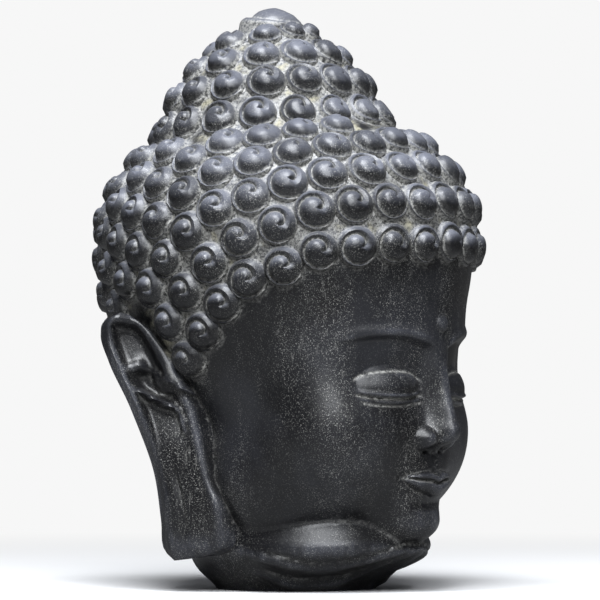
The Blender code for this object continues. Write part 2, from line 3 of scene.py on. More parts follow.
import bmesh
import bpy
import numpy as np
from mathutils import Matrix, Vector


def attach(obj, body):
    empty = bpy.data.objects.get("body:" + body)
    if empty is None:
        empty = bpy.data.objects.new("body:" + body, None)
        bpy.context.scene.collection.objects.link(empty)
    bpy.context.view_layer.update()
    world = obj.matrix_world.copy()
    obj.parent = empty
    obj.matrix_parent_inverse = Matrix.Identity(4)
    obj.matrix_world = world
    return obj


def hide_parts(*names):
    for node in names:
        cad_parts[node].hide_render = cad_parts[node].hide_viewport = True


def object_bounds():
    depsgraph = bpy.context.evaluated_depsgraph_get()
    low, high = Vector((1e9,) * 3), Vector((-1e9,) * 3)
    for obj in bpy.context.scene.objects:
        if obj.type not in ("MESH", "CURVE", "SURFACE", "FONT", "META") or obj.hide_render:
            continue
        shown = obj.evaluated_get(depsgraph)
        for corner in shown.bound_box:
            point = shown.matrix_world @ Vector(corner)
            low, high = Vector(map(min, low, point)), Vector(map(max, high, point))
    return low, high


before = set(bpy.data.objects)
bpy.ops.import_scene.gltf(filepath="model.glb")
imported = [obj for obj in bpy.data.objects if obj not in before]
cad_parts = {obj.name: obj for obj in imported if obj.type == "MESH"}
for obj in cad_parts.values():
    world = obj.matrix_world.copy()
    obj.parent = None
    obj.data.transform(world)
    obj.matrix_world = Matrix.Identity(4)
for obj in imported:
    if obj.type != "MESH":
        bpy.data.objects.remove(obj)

bl_info = {
    "name": "Stone Buddha Head",
    "version": (1, 0, 0),
    "blender": (4, 5, 0),
    "location": "3D View > Sidebar > Stone Head",
    "description": "Carves a dark stone Buddha head with snail curls and sets its stage",
    "category": "Add Mesh",
}

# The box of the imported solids: lowest and highest corner, in metres. The carving is fitted to it.
CAD_BOX = [list(corner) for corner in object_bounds()]

# All lengths of the carving below are shares of the head's height.
# The head is fuller than the canon below: its width and depth are taken this many times.
GIRTH = 1.045

# The face: three even thirds from the hairline to the chin, and the places and half widths in it.
CHIN = 0.075
HAIRLINE = 0.575
THIRD = (HAIRLINE - CHIN) / 3
BROW = HAIRLINE - THIRD
NOSE = BROW - THIRD
MOUTH = NOSE - THIRD / 3
EYE = BROW - 0.37 * THIRD
EYE_OUT = 0.093
EYE_HALF = 0.060
MOUTH_HALF = 0.064
# How far the round mark stands over the brows, and the fine line below the slit of the lids.
MARK_RISE = 0.045
LID_LINE_DROP = 0.0118

# The skull under the hair, and the upright line inside the head that its skin is seen from.
SKULL_HALF_WIDTH = 0.290
SKULL_HALF_DEPTH = 0.316
SKULL_MIDDLE = 0.600
SKULL_RISE = 0.232
SKULL_DROP = 0.400
AXIS_Y = -0.030
AXIS_LOW = 0.060
AXIS_HIGH = SKULL_MIDDLE
# The first stop on a sight line, and the longest stride along it.
STRIDE = 0.06

# The topknot, a bell that stands a little behind the middle.
KNOT_Y = 0.030
KNOT_RADIUS = 0.182
KNOT_FOOT = 0.760
KNOT_RISE = 0.226

# The curls: the steps along and between rows, and height and number of curls of the topknot's rows.
CURL_STEP = 0.0665
ROW_STEP = 0.0592
KNOT_ROWS = ((0.798, 17), (0.854, 15), (0.902, 11), (0.941, 8))
KNOT_ROW_SLOPE = 0.09
KNOB_RADIUS = 0.057
KNOB_HEIGHT = 0.018
KNOB_FLAT = 0.55
# Curls nearer to each other than the first push apart. Of two that stay nearer than the second, one goes.
CURL_ELBOW = 1.12 * CURL_STEP
CURL_LEAST = 0.8 * CURL_STEP
# The cap's rows stop at this distance from the topknot's middle.
KNOT_CLEAR = GIRTH * KNOT_RADIUS + 0.45 * CURL_STEP
# The rounds of that pushing, the share of a push that is taken, and the pull back to the row.
PUSH_ROUNDS = 24
PUSH_SHARE = 0.22
HOME_PULL = 0.25
# A curl's radius is at most this share of the way to its neighbour. Two curls are apart when their middles
# stand this many times the sum of their radii from each other.
CURL_CROWD = 0.56
CURL_APART = 1.15
# By how much hand-cut curls tip, twist, and differ in radius and height; the seeds of their chances.
CURL_TIP = 0.035
CURL_TWIST = 0.22
CURL_RADIUS_SPREAD = 0.025
CURL_HEIGHT_SPREAD = 0.05
FRAME_SEED = 7
SIZE_SEED = 11
TONE_SEED = 5

# The lines that the cap's rows are set out on: their number, their reach below, the height they climb to,
# and the degrees between their points.
CAP_LEVELS = 80
CAP_REACH = 0.31
CAP_TOP = 0.86
CAP_TURN = 1.5

# Heights of the lowest row of curls by the turn from the front, in degrees.
LOWEST_ROW = (
    (0, 0.612), (27, 0.599), (40, 0.592), (55, 0.577), (66, 0.5505), (79, 0.519), (90, 0.469),
    (98, 0.425), (104, 0.400), (112, 0.365), (122, 0.335), (140, 0.305), (180, 0.290),
)

# The neck: half width, reach to the front and to the back by height.
NECK_WIDTH = ((0.0, 0.131), (0.012, 0.143), (0.030, 0.164), (0.065, 0.189), (0.100, 0.184), (0.160, 0.168))
NECK_FRONT = ((0.0, 0.145), (0.012, 0.154), (0.030, 0.178), (0.070, 0.247), (0.100, 0.240), (0.160, 0.190))
NECK_BACK = ((0.0, 0.113), (0.012, 0.124), (0.030, 0.142), (0.065, 0.162), (0.160, 0.180))
NECK_TOP = 0.300
# Heights of the two folds under the jaw by the turn from the front, in degrees.
LOW_FOLD = ((0, 0.066), (6, 0.053), (18, 0.026), (45, 0.010), (66, 0.012), (85, 0.034), (180, 0.034))
HIGH_FOLD = ((0, 0.074), (15, 0.058), (46, 0.036), (76, 0.056), (90, 0.070), (180, 0.070))
FOLD_HEIGHT = 0.011
FOLD_HALF = 0.0095
# A fold is steeper below its crest, and a fine line is cut above it.
FOLD_HALF_BELOW = 0.8 * FOLD_HALF
FOLD_LINE_DEPTH = 0.0035
FOLD_LINE_RISE = 1.55 * FOLD_HALF
FOLD_LINE_HALF = 0.30 * FOLD_HALF

# One ear: its front and back edge from the lobe's end to the top, each key the share of the way and then
# the place outwards, back and up.
EAR_FRONT = (
    (0.00, 0.226, 0.011, 0.060), (0.05, 0.219, -0.011, 0.074), (0.15, 0.222, -0.017, 0.123),
    (0.35, 0.228, 0.005, 0.195), (0.55, 0.232, 0.025, 0.281), (0.75, 0.240, 0.046, 0.346),
    (0.88, 0.251, 0.080, 0.414), (0.95, 0.262, 0.103, 0.446), (1.00, 0.274, 0.124, 0.467),
)
EAR_BACK = (
    (0.00, 0.240, 0.062, 0.053), (0.05, 0.248, 0.075, 0.070), (0.15, 0.255, 0.077, 0.120),
    (0.35, 0.262, 0.088, 0.209), (0.55, 0.280, 0.116, 0.308), (0.75, 0.298, 0.147, 0.387),
    (0.88, 0.302, 0.161, 0.435), (0.95, 0.298, 0.156, 0.457), (1.00, 0.284, 0.136, 0.471),
)
EAR_THICKNESS = 0.034
# How far the ear's sheet goes on into the head, as a share of its width, and the line that it leans along.
EAR_ROOT = 0.30
EAR_LEAN = (0.08, 0.30, 0.95)
# The head has no ear nearer to its middle than this. The steps of the ear's mesh across and along.
EAR_SIDE = 0.15
EAR_ACROSS = 30
EAR_ALONG = 64

# One snail curl: its steps round, how far out its groove runs on the way, as a share of its radius, and the
# angle in radians where the groove starts.
SNAIL_SIDES = 16
SNAIL_GROOVE = (
    (0.00, 0.975), (0.06, 0.900), (0.15, 0.835), (0.30, 0.780), (0.50, 0.715), (0.65, 0.640),
    (0.80, 0.510), (0.90, 0.370), (1.00, 0.190),
)
SNAIL_START = -0.55
# The lines of a curl's mesh, from the rim inwards, where its groove starts: line 5 is the groove's bottom.
# After one turn every line has moved inwards by four, so that the last column meets the first.
SNAIL_LINES = (1.0, 1.0, 1.0, 1.0, 1.0, 0.975, 0.915, 0.610, 0.265, 0.190, 0.115, 0.0)
SNAIL_SHIFT = 4
# The lines on the groove's outer edge, on its bottom and on its inner edge.
OUTER = 4
BOTTOM = 5
INNER = 6
# The height of the ring outside the groove and the depth of the skirt, as shares of the curl's height.
RING_HEIGHT = 0.47
SKIRT_DEPTH = 0.6

# Longest triangle edges wanted: under the hair, in front, on the neck's front and back, on fine carving.
PLAIN_STEP = 0.0180
FRONT_STEP = 0.0095
NECK_STEP = 0.0068
NAPE_STEP = 0.0130
FINE_STEP = 0.0038
NECK_FINE_BELOW = 0.12

# How much pale dust lies in fine hollows, in the gaps between curls, at their feet and in the face's lines.
DUST_FINE = 0.30
DUST_GAP = 0.34
DUST_FOOT = 0.36
DUST_FACE = 0.80
# The marks on the vertices are worked out for so many of them at a time.
BATCH = 8000
# With fewer faces than this, the parts of the head haven't united.
FEWEST_FACES = 10000

# The middle of the head in metres, which the lights and the camera face.
AIM = (0.0, 0.0, 0.25)
# The soft lights, cool in colour: name, place, power in watts and width.
LIGHT_COLOUR = (0.94, 0.965, 1.0)
LIGHTS = (
    ("top", (-0.9, -0.4, 2.4), 82.0, 1.2),
    ("front", (-1.75, -1.55, 1.80), 72.0, 1.5),
)
# What the room gives the stone is dimmer than what the camera sees of it.
ROOM_COLOUR = (0.90, 0.93, 1.0, 1)
ROOM_DIM = 0.10
FLOOR_DIM = 0.30
FLOOR_GLOW = 0.12
# The long lens and its sensor in millimetres, and the shift that puts the head where the photograph has it.
SENSOR_WIDTH = 36.0
LENS = 243.98
SHIFT_X = 0.01994
SHIFT_Y = -0.00506


class HeadCarving(bpy.types.PropertyGroup):
    """Sizes and colours of the carved stone"""
    curl_radius: bpy.props.FloatProperty(
        name="Curl Radius", description="Radius of one curl, as a share of the head's height",
        default=0.0355, min=0.02, max=0.04)
    curl_height: bpy.props.FloatProperty(
        name="Curl Height", description="How far a curl stands out, as a share of the head's height",
        default=0.0235, min=0.005, max=0.04)
    groove_depth: bpy.props.FloatProperty(
        name="Groove Depth", description="Depth of the spiral groove, as a share of the curl's height",
        default=0.38, min=0.0, max=0.6)
    groove_width: bpy.props.FloatProperty(
        name="Groove Width", description="Half width of the spiral groove, as a share of the curl's radius",
        default=0.062, min=0.02, max=0.2)
    unevenness: bpy.props.FloatProperty(
        name="Unevenness", description="How unlike each other the hand-cut curls are",
        default=1.0, min=0.0, max=3.0)
    stone_colour: bpy.props.FloatVectorProperty(
        name="Stone Colour", description="Colour of the blackened stone",
        subtype="COLOR", size=4, default=(0.0050, 0.0050, 0.0060, 1.0), min=0.0, max=1.0)
    # this colour also paints the sheen of the light from above onto the curls' upward faces
    worn_and_sheen_colour: bpy.props.FloatVectorProperty(
        name="Worn Colour", description="Colour where the blackening is rubbed thin",
        subtype="COLOR", size=4, default=(0.145, 0.153, 0.185, 1.0), min=0.0, max=1.0)
    dust_colour: bpy.props.FloatVectorProperty(
        name="Dust Colour", description="Colour of the pale dust in cut lines and pores",
        subtype="COLOR", size=4, default=(0.58, 0.575, 0.54, 1.0), min=0.0, max=1.0)
    lime_colour: bpy.props.FloatVectorProperty(
        name="Lime Colour", description="Colour of the cream residue between the curls",
        subtype="COLOR", size=4, default=(0.50, 0.47, 0.34, 1.0), min=0.0, max=1.0)


class HeadStage(bpy.types.PropertyGroup):
    """Floor, lights and view"""
    floor_size: bpy.props.FloatProperty(
        name="Floor Size", description="Width of the pale floor",
        default=60.0, min=1.0, unit="LENGTH")
    floor_colour: bpy.props.FloatVectorProperty(
        name="Floor Colour", description="Colour of the floor and of the room behind",
        subtype="COLOR", size=4, default=(0.93, 0.93, 0.93, 1.0), min=0.0, max=1.0)
    light_power: bpy.props.FloatProperty(
        name="Light Power", description="Strength of the studio lights, 1 for the photograph's",
        default=1.0, min=0.0)
    turn: bpy.props.FloatProperty(
        name="View Turn", description="How far the camera stands round from the front",
        default=math.radians(-55.0), subtype="ANGLE")
    rise: bpy.props.FloatProperty(
        name="View Rise", description="How far the camera looks down",
        default=math.radians(-1.5), subtype="ANGLE")
    distance: bpy.props.FloatProperty(
        name="View Distance", description="How far the camera stands off",
        default=3.5, min=0.5, unit="LENGTH")


def ease(low, high, t):
    """0 up to low, 1 from high on, smooth between."""
    t = np.clip((t - low) / (high - low), 0, 1)
    return t * t * (3 - 2 * t)


def mound(t):
    """A soft hill of width 1 and height 1."""
    return np.clip(1 - t * t, 0, 1) ** 2


def bead(t):
    """A narrow round hill, 1 in the middle."""
    return np.exp(-t * t)


def curve(keys, t):
    """A smooth curve through a few (place, value) keys, flat beyond its ends."""
    place, value = np.array(keys, float).T
    slope = np.gradient(value, place)
    k = np.clip(np.searchsorted(place, t) - 1, 0, len(place) - 2)
    step = place[k + 1] - place[k]
    u = np.clip((t - place[k]) / step, 0, 1)
    start = (1 + 2 * u) * (1 - u) ** 2 * value[k] + u * (1 - u) ** 2 * step * slope[k]
    end = u * u * (3 - 2 * u) * value[k + 1] + u * u * (u - 1) * step * slope[k + 1]
    return start + end


def lump(p, centre, radii):
    """Rough distance from the points p to an ellipsoid, negative inside."""
    q = (p - np.array(centre)) / np.array(radii)
    reach = np.linalg.norm(q, axis=1)
    steep = np.linalg.norm(q / np.array(radii), axis=1)
    return reach * (reach - 1) / np.maximum(steep, 1e-9)


def merge(a, b, soft):
    """The union of two distances with a fillet."""
    share = np.clip(0.5 + 0.5 * (b - a) / soft, 0, 1)
    return b + (a - b) * share - soft * share * (1 - share)


def folded(p):
    """The points with the left half laid over the right, so that one lump makes a pair."""
    return np.stack([np.abs(p[:, 0]), p[:, 1], p[:, 2]], axis=1)


def skull(p):
    """Rough distance to the skull, an egg with a height of its own above and below its middle."""
    rise = np.where(p[:, 2:3] > SKULL_MIDDLE, SKULL_RISE, SKULL_DROP)
    sides = np.ones_like(rise)
    radii = np.concatenate([sides * SKULL_HALF_WIDTH, sides * SKULL_HALF_DEPTH, rise], axis=1)
    return lump(p, (0, 0, SKULL_MIDDLE), radii)


def topknot(p):
    """Rough distance to the bell of the topknot."""
    z = p[:, 2]
    wide = np.hypot(p[:, 0], p[:, 1] - KNOT_Y) / KNOT_RADIUS
    tall = np.abs(z - KNOT_FOOT) / KNOT_RISE
    return (wide ** 1.18 + tall ** 2.1 - 1) * 0.12


def turned(p):
    """How far the points p are turned from the front, in degrees, the same on both sides."""
    return np.degrees(np.arctan2(np.abs(p[:, 0]), AXIS_Y - p[:, 1]))


def neck(p):
    """A short round neck with two folds under the jaw."""
    z = p[:, 2]
    half = curve(NECK_WIDTH, z)
    front = -curve(NECK_FRONT, z)
    back = curve(NECK_BACK, z)
    middle = (front + back) / 2
    depth = (back - front) / 2
    side = (np.hypot(p[:, 0] / half, (p[:, 1] - middle) / depth) - 1) * np.minimum(half, depth)
    turn = turned(p)
    fade = 1 - ease(68, 92, turn)
    for fold in (LOW_FOLD, HIGH_FOLD):
        above = z - curve(fold, turn)
        side -= FOLD_HEIGHT * fade * bead(above / np.where(above > 0, FOLD_HALF, FOLD_HALF_BELOW))
        side += FOLD_LINE_DEPTH * fade * bead((above - FOLD_LINE_RISE) / FOLD_LINE_HALF)
    return -merge(-side, NECK_TOP - z, 0.03)


def face(p):
    """The plain oval of the face, its cheeks, jaw and chin."""
    q = folded(p)
    oval = lump(p, (0, -0.070, 0.410), (0.236, 0.232, 0.270))
    low = lump(p, (0, -0.120, 0.225), (0.172, 0.158, 0.148))
    cheek = lump(q, (0.112, -0.150, 0.265), (0.104, 0.108, 0.120))
    jaw = lump(q, (0.125, -0.045, 0.190), (0.090, 0.110, 0.110))
    chin = lump(p, (0, -0.218, 0.128), (0.064, 0.060, 0.053))
    d = merge(oval, low, 0.06)
    d = merge(d, cheek, 0.05)
    d = merge(d, jaw, 0.05)
    return merge(d, chin, 0.04)


def brow_line(x):
    """Height of the brow's edge at half width x."""
    return BROW + 0.004 + 0.022 * np.sin(math.pi * np.clip((x - 0.012) / 0.200, 0, 1)) ** 0.9


def lid_slit(u):
    """Height of the slit under a lowered lid, with u from -1 to 1 across the eye."""
    return EYE - 0.016 - 0.006 * (1 - u * u)


def lid_crease(u):
    """Height of the crease over a lid, with u from -1 to 1 across the eye."""
    return EYE - 0.002 + 0.027 * np.sqrt(np.clip(1 - (u / 1.15) ** 2, 0, 1))


def lip_line(s):
    """Height of the line between the lips, with s from 0 in the middle to 1 at the corner."""
    return MOUTH + 0.0065 * s ** 2.2


def from_mark(x, z):
    """Distance from the middle of the round mark between the brows."""
    return np.hypot(x, z - BROW - MARK_RISE)


def brows(x, z):
    """The hollows under the brows and the crisp brow edges."""
    below = brow_line(x) - z
    across = ease(0.013, 0.036, x) * (1 - ease(0.125, 0.200, x))
    hollow = ease(0, 0.014, below) * (1 - ease(0.050, 0.155, below))
    return across * (0.0045 * mound((below + 0.006) / 0.013) - 0.020 * hollow)


def eyes(x, z):
    """Lowered lids over round eyes, each with a slit, a lower lid and a crease."""
    u = (x - EYE_OUT) / EYE_HALF
    w = (z - EYE - 0.001) / 0.035
    slit = lid_slit(u)
    near = 1 - ease(0.88, 1.14, np.abs(u))
    d = 0.021 * np.clip(1 - u * u - w * w, 0, 1) ** 1.05
    d -= 0.0052 * near * bead((z - slit) / 0.0021)
    d += 0.0040 * near * bead((z - slit - 0.0055) / 0.0036)
    d += 0.0028 * near * bead((z - slit + 0.0062) / 0.0038)
    d -= 0.0014 * near * bead((z - slit + LID_LINE_DROP) / 0.0014)
    return d - 0.0034 * near * bead((z - lid_crease(u)) / 0.0022)


def nose(x, z):
    """A straight ridge from the brows to a small round tip, with a wing on each side."""
    height = curve(
        (
            (NOSE - 0.008, 0.0), (NOSE + 0.004, 0.018), (NOSE + 0.014, 0.043), (NOSE + 0.024, 0.050),
            (NOSE + 0.050, 0.043), (NOSE + 0.090, 0.027), (BROW - 0.04, 0.014), (BROW + 0.04, 0.0),
        ), z)
    half = curve(
        (
            (NOSE - 0.01, 0.020), (NOSE + 0.02, 0.0235), (NOSE + 0.06, 0.0175), (BROW - 0.05, 0.0135),
            (BROW, 0.016), (BROW + 0.04, 0.030),
        ), z)
    ridge = height / (1 + (x / (0.95 * half)) ** 3.2)
    u = (x - 0.0305) / 0.0225
    w = (z - NOSE - 0.0175 - 0.10 * (0.03 - x)) / 0.0235
    wing = 0.0275 * np.clip(1 - u * u - w * w, 0, 1) ** 0.9
    nostril = 0.010 * bead((x - 0.022) / 0.0075) * bead((z - NOSE + 0.001) / 0.0052)
    return -merge(-ridge, -wing, 0.012) - nostril


def mouth(x, z):
    """Closed lips with a bow, dimpled corners and the groove that leads up to the nose."""
    s = np.clip(x / MOUTH_HALF, 0, 1)
    line = lip_line(s) - 0.0018 * np.cos(math.pi * np.clip(x / 0.024, 0, 1))
    bow = line + (0.0185 - 0.0035 * bead(x / 0.009)) * (1 - s * s) ** 0.8
    pout = line - 0.0245 * (1 - s ** 2.2) ** 0.7
    rise = np.clip((z - line) / np.maximum(bow - line, 1e-4), 0, 1)
    fall = np.clip((line - z) / np.maximum(line - pout, 1e-4), 0, 1)
    upper = np.where(z >= line, np.sin(math.pi * (0.20 + 0.80 * rise)), 0)
    lower = np.where(z < line, np.sin(math.pi * (0.16 + 0.84 * fall)), 0)
    near = 1 - ease(0.80, 1.05, x / MOUTH_HALF)
    d = 0.012 * mound(x / 0.085) * mound((z - MOUTH) / 0.060)
    d += near * (0.0115 * upper + 0.0140 * lower - 0.0050 * bead((z - line) / 0.0022))
    d -= near * 0.0012 * (bead((z - bow) / 0.0016) + bead((z - pout) / 0.0018))
    d -= 0.0045 * bead((x - MOUTH_HALF - 0.002) / 0.008) * bead((z - MOUTH - 0.007) / 0.009)
    gutter = ease(NOSE - 0.034, NOSE - 0.022, z) * (1 - ease(NOSE - 0.006, NOSE + 0.004, z))
    return d - 0.0035 * bead(x / 0.0065) * gutter


def relief(x, z):
    """How far the face stands out in front of its plain oval, by half width and height."""
    d = brows(x, z) + eyes(x, z) + nose(x, z) + mouth(x, z)
    d -= 0.0075 * mound(x / 0.055) * mound((z - MOUTH + 0.036) / 0.016)
    d += 0.0120 * mound(x / 0.060) * mound((z - 0.112) / 0.040)
    mark = from_mark(x, z) / 0.0155
    return d + 0.0105 * np.clip(1 - mark * mark, 0, 1) ** 0.6


def stone(p):
    """Rough distance to the head without its curls and ears, negative inside."""
    p = p / np.array((GIRTH, GIRTH, 1))
    front = ease(0.02, 0.12, -p[:, 1]) * (1 - ease(0.53, 0.56, p[:, 2]))
    carved = p.copy()
    carved[:, 1] += relief(np.abs(p[:, 0]), p[:, 2]) * front
    d = merge(skull(p), topknot(p), 0.022)
    d = merge(d, neck(p), 0.006 + 0.034 * ease(0.12, 0.25, p[:, 2]))
    return merge(d, face(carved), 0.006 + 0.014 * ease(0.12, 0.25, p[:, 2]))


def on_skin(p, nearby=False):
    """The points moved along their sight lines from the upright line inside the head onto the stone."""
    z = np.clip(p[:, 2], AXIS_LOW, AXIS_HIGH)
    start = np.stack([0 * z, 0 * z + AXIS_Y, z], axis=1)
    way = p - start
    far = np.linalg.norm(way, axis=1)
    way /= far[:, None]
    # points that are near the skin start where they are and need fewer strides
    tries = 14
    if not nearby:
        far = np.full(len(p), STRIDE)
        tries = 40
    for _ in range(tries):
        far = far - 0.8 * np.clip(stone(start + way * far[:, None]), -STRIDE, STRIDE)
    return start + way * far[:, None]


def outward(p):
    """The directions that point straight out of the stone at the points p."""
    step = 0.001
    g = np.empty_like(p)
    for k in range(3):
        d = np.zeros(3)
        d[k] = step
        g[:, k] = stone(p + d) - stone(p - d)
    return g / np.linalg.norm(g, axis=1)[:, None]


def spaced(line, step, shift, closed):
    """Even points along a line, about one step apart."""
    if closed:
        line = np.concatenate([line, line[:1]])
    length = np.concatenate([[0], np.cumsum(np.linalg.norm(np.diff(line, axis=0), axis=1))])
    count = max(round(length[-1] / step), 1)
    at = (np.arange(count) + shift) / count * length[-1]
    return np.stack([np.interp(at, length, line[:, k]) for k in range(3)], axis=1)


def cap_rows():
    """Middles of the cap's curls: rows at even distances from the lowest row, curls even along each."""
    turn = np.arange(0, 360, CAP_TURN)
    side = np.minimum(turn, 360 - turn)
    a = np.radians(turn)
    z = curve(LOWEST_ROW, side)
    low = on_skin(np.stack([np.sin(a), AXIS_Y - np.cos(a), z], axis=1))
    lines = []
    for k in range(CAP_LEVELS):
        s = k / (CAP_LEVELS - 1)
        reach = CAP_REACH * (1 - 0.55 * s)
        height = low[:, 2] + (CAP_TOP - low[:, 2]) * s
        way = np.stack([np.sin(a) * reach, AXIS_Y - np.cos(a) * reach + 0.06 * s, height], axis=1)
        lines.append(on_skin(way))
    lines = np.array(lines)
    chord = np.linalg.norm(lines.reshape(-1, 1, 3) - low[None, ::2], axis=2).min(axis=1)
    arc = 2 * SKULL_HALF_WIDTH * np.arcsin(np.clip(chord / (2 * SKULL_HALF_WIDTH), 0, 1))
    arc = np.maximum.accumulate(arc.reshape(CAP_LEVELS, -1), axis=0)
    rows = [spaced(low, CURL_STEP, 0.0, True)]
    for k in range(1, 12):
        want = k * ROW_STEP
        upper = np.clip((arc < want).sum(axis=0), 1, CAP_LEVELS - 1)
        every = np.arange(len(turn))
        below = arc[upper - 1, every]
        above = arc[upper, every]
        share = ((want - below) / np.maximum(above - below, 1e-9))[:, None]
        row = lines[upper - 1, every] * (1 - share) + lines[upper, every] * share
        kept = (arc[-1] > want) & (np.hypot(row[:, 0], row[:, 1] - KNOT_Y) > KNOT_CLEAR)
        if kept.all():
            rows.append(spaced(row, CURL_STEP, 0.5 * (k % 2), True))
            continue
        if not kept.any():
            break
        # the row is broken in front by the topknot, so it runs round the back from end to end
        first = np.argmax(kept & ~np.roll(kept, 1))
        part = np.roll(row, -first, axis=0)[:kept.sum()]
        rows.append(spaced(part, CURL_STEP, 0.5, False))
    return np.concatenate(rows)


def knot_rows():
    """Middles of the topknot's curls, row by row, and of the knob on its top."""
    rows = []
    for k, (z, count) in enumerate(KNOT_ROWS):
        a = (np.arange(count) + 0.5 * (k % 2)) * 2 * math.pi / count
        y = KNOT_Y - np.cos(a) * KNOT_RADIUS
        start = np.stack([0 * a, KNOT_Y + 0 * a, z - KNOT_ROW_SLOPE * (y - KNOT_Y)], axis=1)
        way = np.stack([np.sin(a), -np.cos(a), 0 * a], axis=1)
        far = np.full(count, 0.005)
        for _ in range(60):
            far = far - 0.7 * np.clip(stone(start + way * far[:, None]), -0.02, 0.02)
        rows.append(start + way * far[:, None])
    rows.append(np.array([(0.0, KNOT_Y, KNOT_FOOT + KNOT_RISE)]))
    return np.concatenate(rows)


def evened(cap, knot):
    """Curls that stand too close push each other apart, and are laid back on the scalp."""
    home = cap
    for _ in range(PUSH_ROUNDS):
        gap = cap[:, None] - np.concatenate([cap, knot])[None]
        far = np.linalg.norm(gap, axis=2)
        near = (far > 1e-6) & (far < CURL_ELBOW)
        strength = np.where(near, (CURL_ELBOW - far) / np.maximum(far, 1e-6), 0)
        push = (gap * strength[:, :, None]).sum(axis=1) + HOME_PULL * (home - cap)
        n = outward(cap)
        push -= (push * n).sum(axis=1)[:, None] * n
        cap = on_skin(cap + PUSH_SHARE * push)
    return cap


def ear_edges(p):
    """Where the ear's front and back edges stand at the height of each point, and which have an ear."""
    root = GIRTH * curve([(key[3], key[2]) for key in EAR_FRONT[1:]], p[:, 2])
    rim = GIRTH * curve([(key[3], key[2]) for key in EAR_BACK[1:]], p[:, 2])
    return root, rim, (np.abs(p[:, 0]) > EAR_SIDE) & (p[:, 2] < EAR_BACK[-1][3] + 0.006)


def thinned(cap, knot):
    """The cap's curls without those that stand on another curl, on an ear or behind its hollow."""
    root, rim, eared = ear_edges(cap)
    # no curl grows from just before the ear's front edge to just before its back edge
    barred = eared & (cap[:, 1] > root - 0.042) & (cap[:, 1] < np.maximum(root + 0.060, rim - 0.015))
    kept = []
    for q in cap[~barred]:
        others = np.concatenate([np.array(kept).reshape(-1, 3), knot])
        if np.linalg.norm(others - q, axis=1).min() > CURL_LEAST:
            kept.append(q)
    return np.array(kept)


def wanted_step(p):
    """The longest triangle edge wanted at the points p: shortest on eyes, nose, lips and neck folds."""
    q = folded(p / np.array((GIRTH, GIRTH, 1)))
    x = q[:, 0]
    z = q[:, 2]
    front = (q[:, 1] < -0.02) & (z < HAIRLINE + 0.02)
    step = np.where(front, FRONT_STEP, PLAIN_STEP)
    step = np.where(z < NECK_FINE_BELOW, np.where(turned(p) < 100, NECK_STEP, NAPE_STEP), step)
    eye = np.hypot((x - EYE_OUT) / 1.35, (z - EYE + 0.002) * 1.25)
    lips = np.hypot(x / 1.5, (z - MOUTH + 0.003) * 1.25)
    tip = np.hypot(x, z - NOSE - 0.012)
    arch = np.where(x < 0.19, np.abs(z - brow_line(x) + 0.004) - 0.012, 1)
    fine = np.minimum.reduce([eye - 0.050, lips - 0.048, tip - 0.052, from_mark(x, z) - 0.017, arch])
    close = np.clip(FINE_STEP + 0.18 * np.maximum(fine, 0), FINE_STEP, FRONT_STEP)
    return np.where(front & (q[:, 1] < -0.12), np.minimum(step, close), step)


def coordinates(bm):
    """The places of the bmesh's vertices as rows."""
    return np.array([v.co for v in bm.verts])


def place(verts, points):
    """Moves the vertices to the points."""
    for v, q in zip(verts, points):
        v.co = q


def refined(bm):
    """Edges longer than wanted are halved again and again, and the new points laid on the skin."""
    for _ in range(7):
        edges = list(bm.edges)
        ends = np.array([(e.verts[0].co[:], e.verts[1].co[:]) for e in edges])
        middle = ends.mean(axis=1)
        length = np.linalg.norm(ends[:, 0] - ends[:, 1], axis=1)
        long = [edges[k] for k in np.flatnonzero(length > 1.33 * wanted_step(middle))]
        if not long:
            break
        made = bmesh.ops.subdivide_edges(bm, edges=long, cuts=1)
        bmesh.ops.triangulate(bm, faces=[f for f in bm.faces if len(f.verts) > 3], quad_method="SHORT_EDGE")
        new = [g for g in made["geom_inner"] if isinstance(g, bmesh.types.BMVert)]
        place(new, on_skin(np.array([v.co for v in new])))
        bmesh.ops.beautify_fill(bm, faces=bm.faces[:], edges=bm.edges[:], method="ANGLE")


def head_skin():
    """The stone without curls and ears, closed below the base."""
    bm = bmesh.new()
    bmesh.ops.create_icosphere(bm, subdivisions=5, radius=1)
    q = coordinates(bm)
    # a ball about as tall as the head, whose points are then laid on the stone
    ball = np.stack([0.25 * q[:, 0], AXIS_Y + 0.25 * q[:, 1], 0.40 + 0.62 * q[:, 2]], axis=1)
    place(bm.verts, on_skin(ball))
    refined(bm)
    for _ in range(2):
        bmesh.ops.smooth_vert(
            bm, verts=bm.verts[:], factor=0.5, use_axis_x=True, use_axis_y=True, use_axis_z=True)
        place(bm.verts, on_skin(coordinates(bm), nearby=True))
    low = bmesh.ops.bisect_plane(
        bm, geom=bm.verts[:] + bm.edges[:] + bm.faces[:], dist=1e-6,
        plane_co=(0, 0, 0), plane_no=(0, 0, 1), clear_inner=True)
    rim = [g for g in low["geom_cut"] if isinstance(g, bmesh.types.BMEdge)]
    bmesh.ops.contextual_create(bm, geom=rim)
    bmesh.ops.triangulate(bm, faces=[f for f in bm.faces if len(f.verts) > 3])
    bmesh.ops.recalc_face_normals(bm, faces=bm.faces[:])
    return bm


def groove_at(t):
    """How far out the spiral groove runs after the share t of its turn."""
    return curve(SNAIL_GROOVE, t)


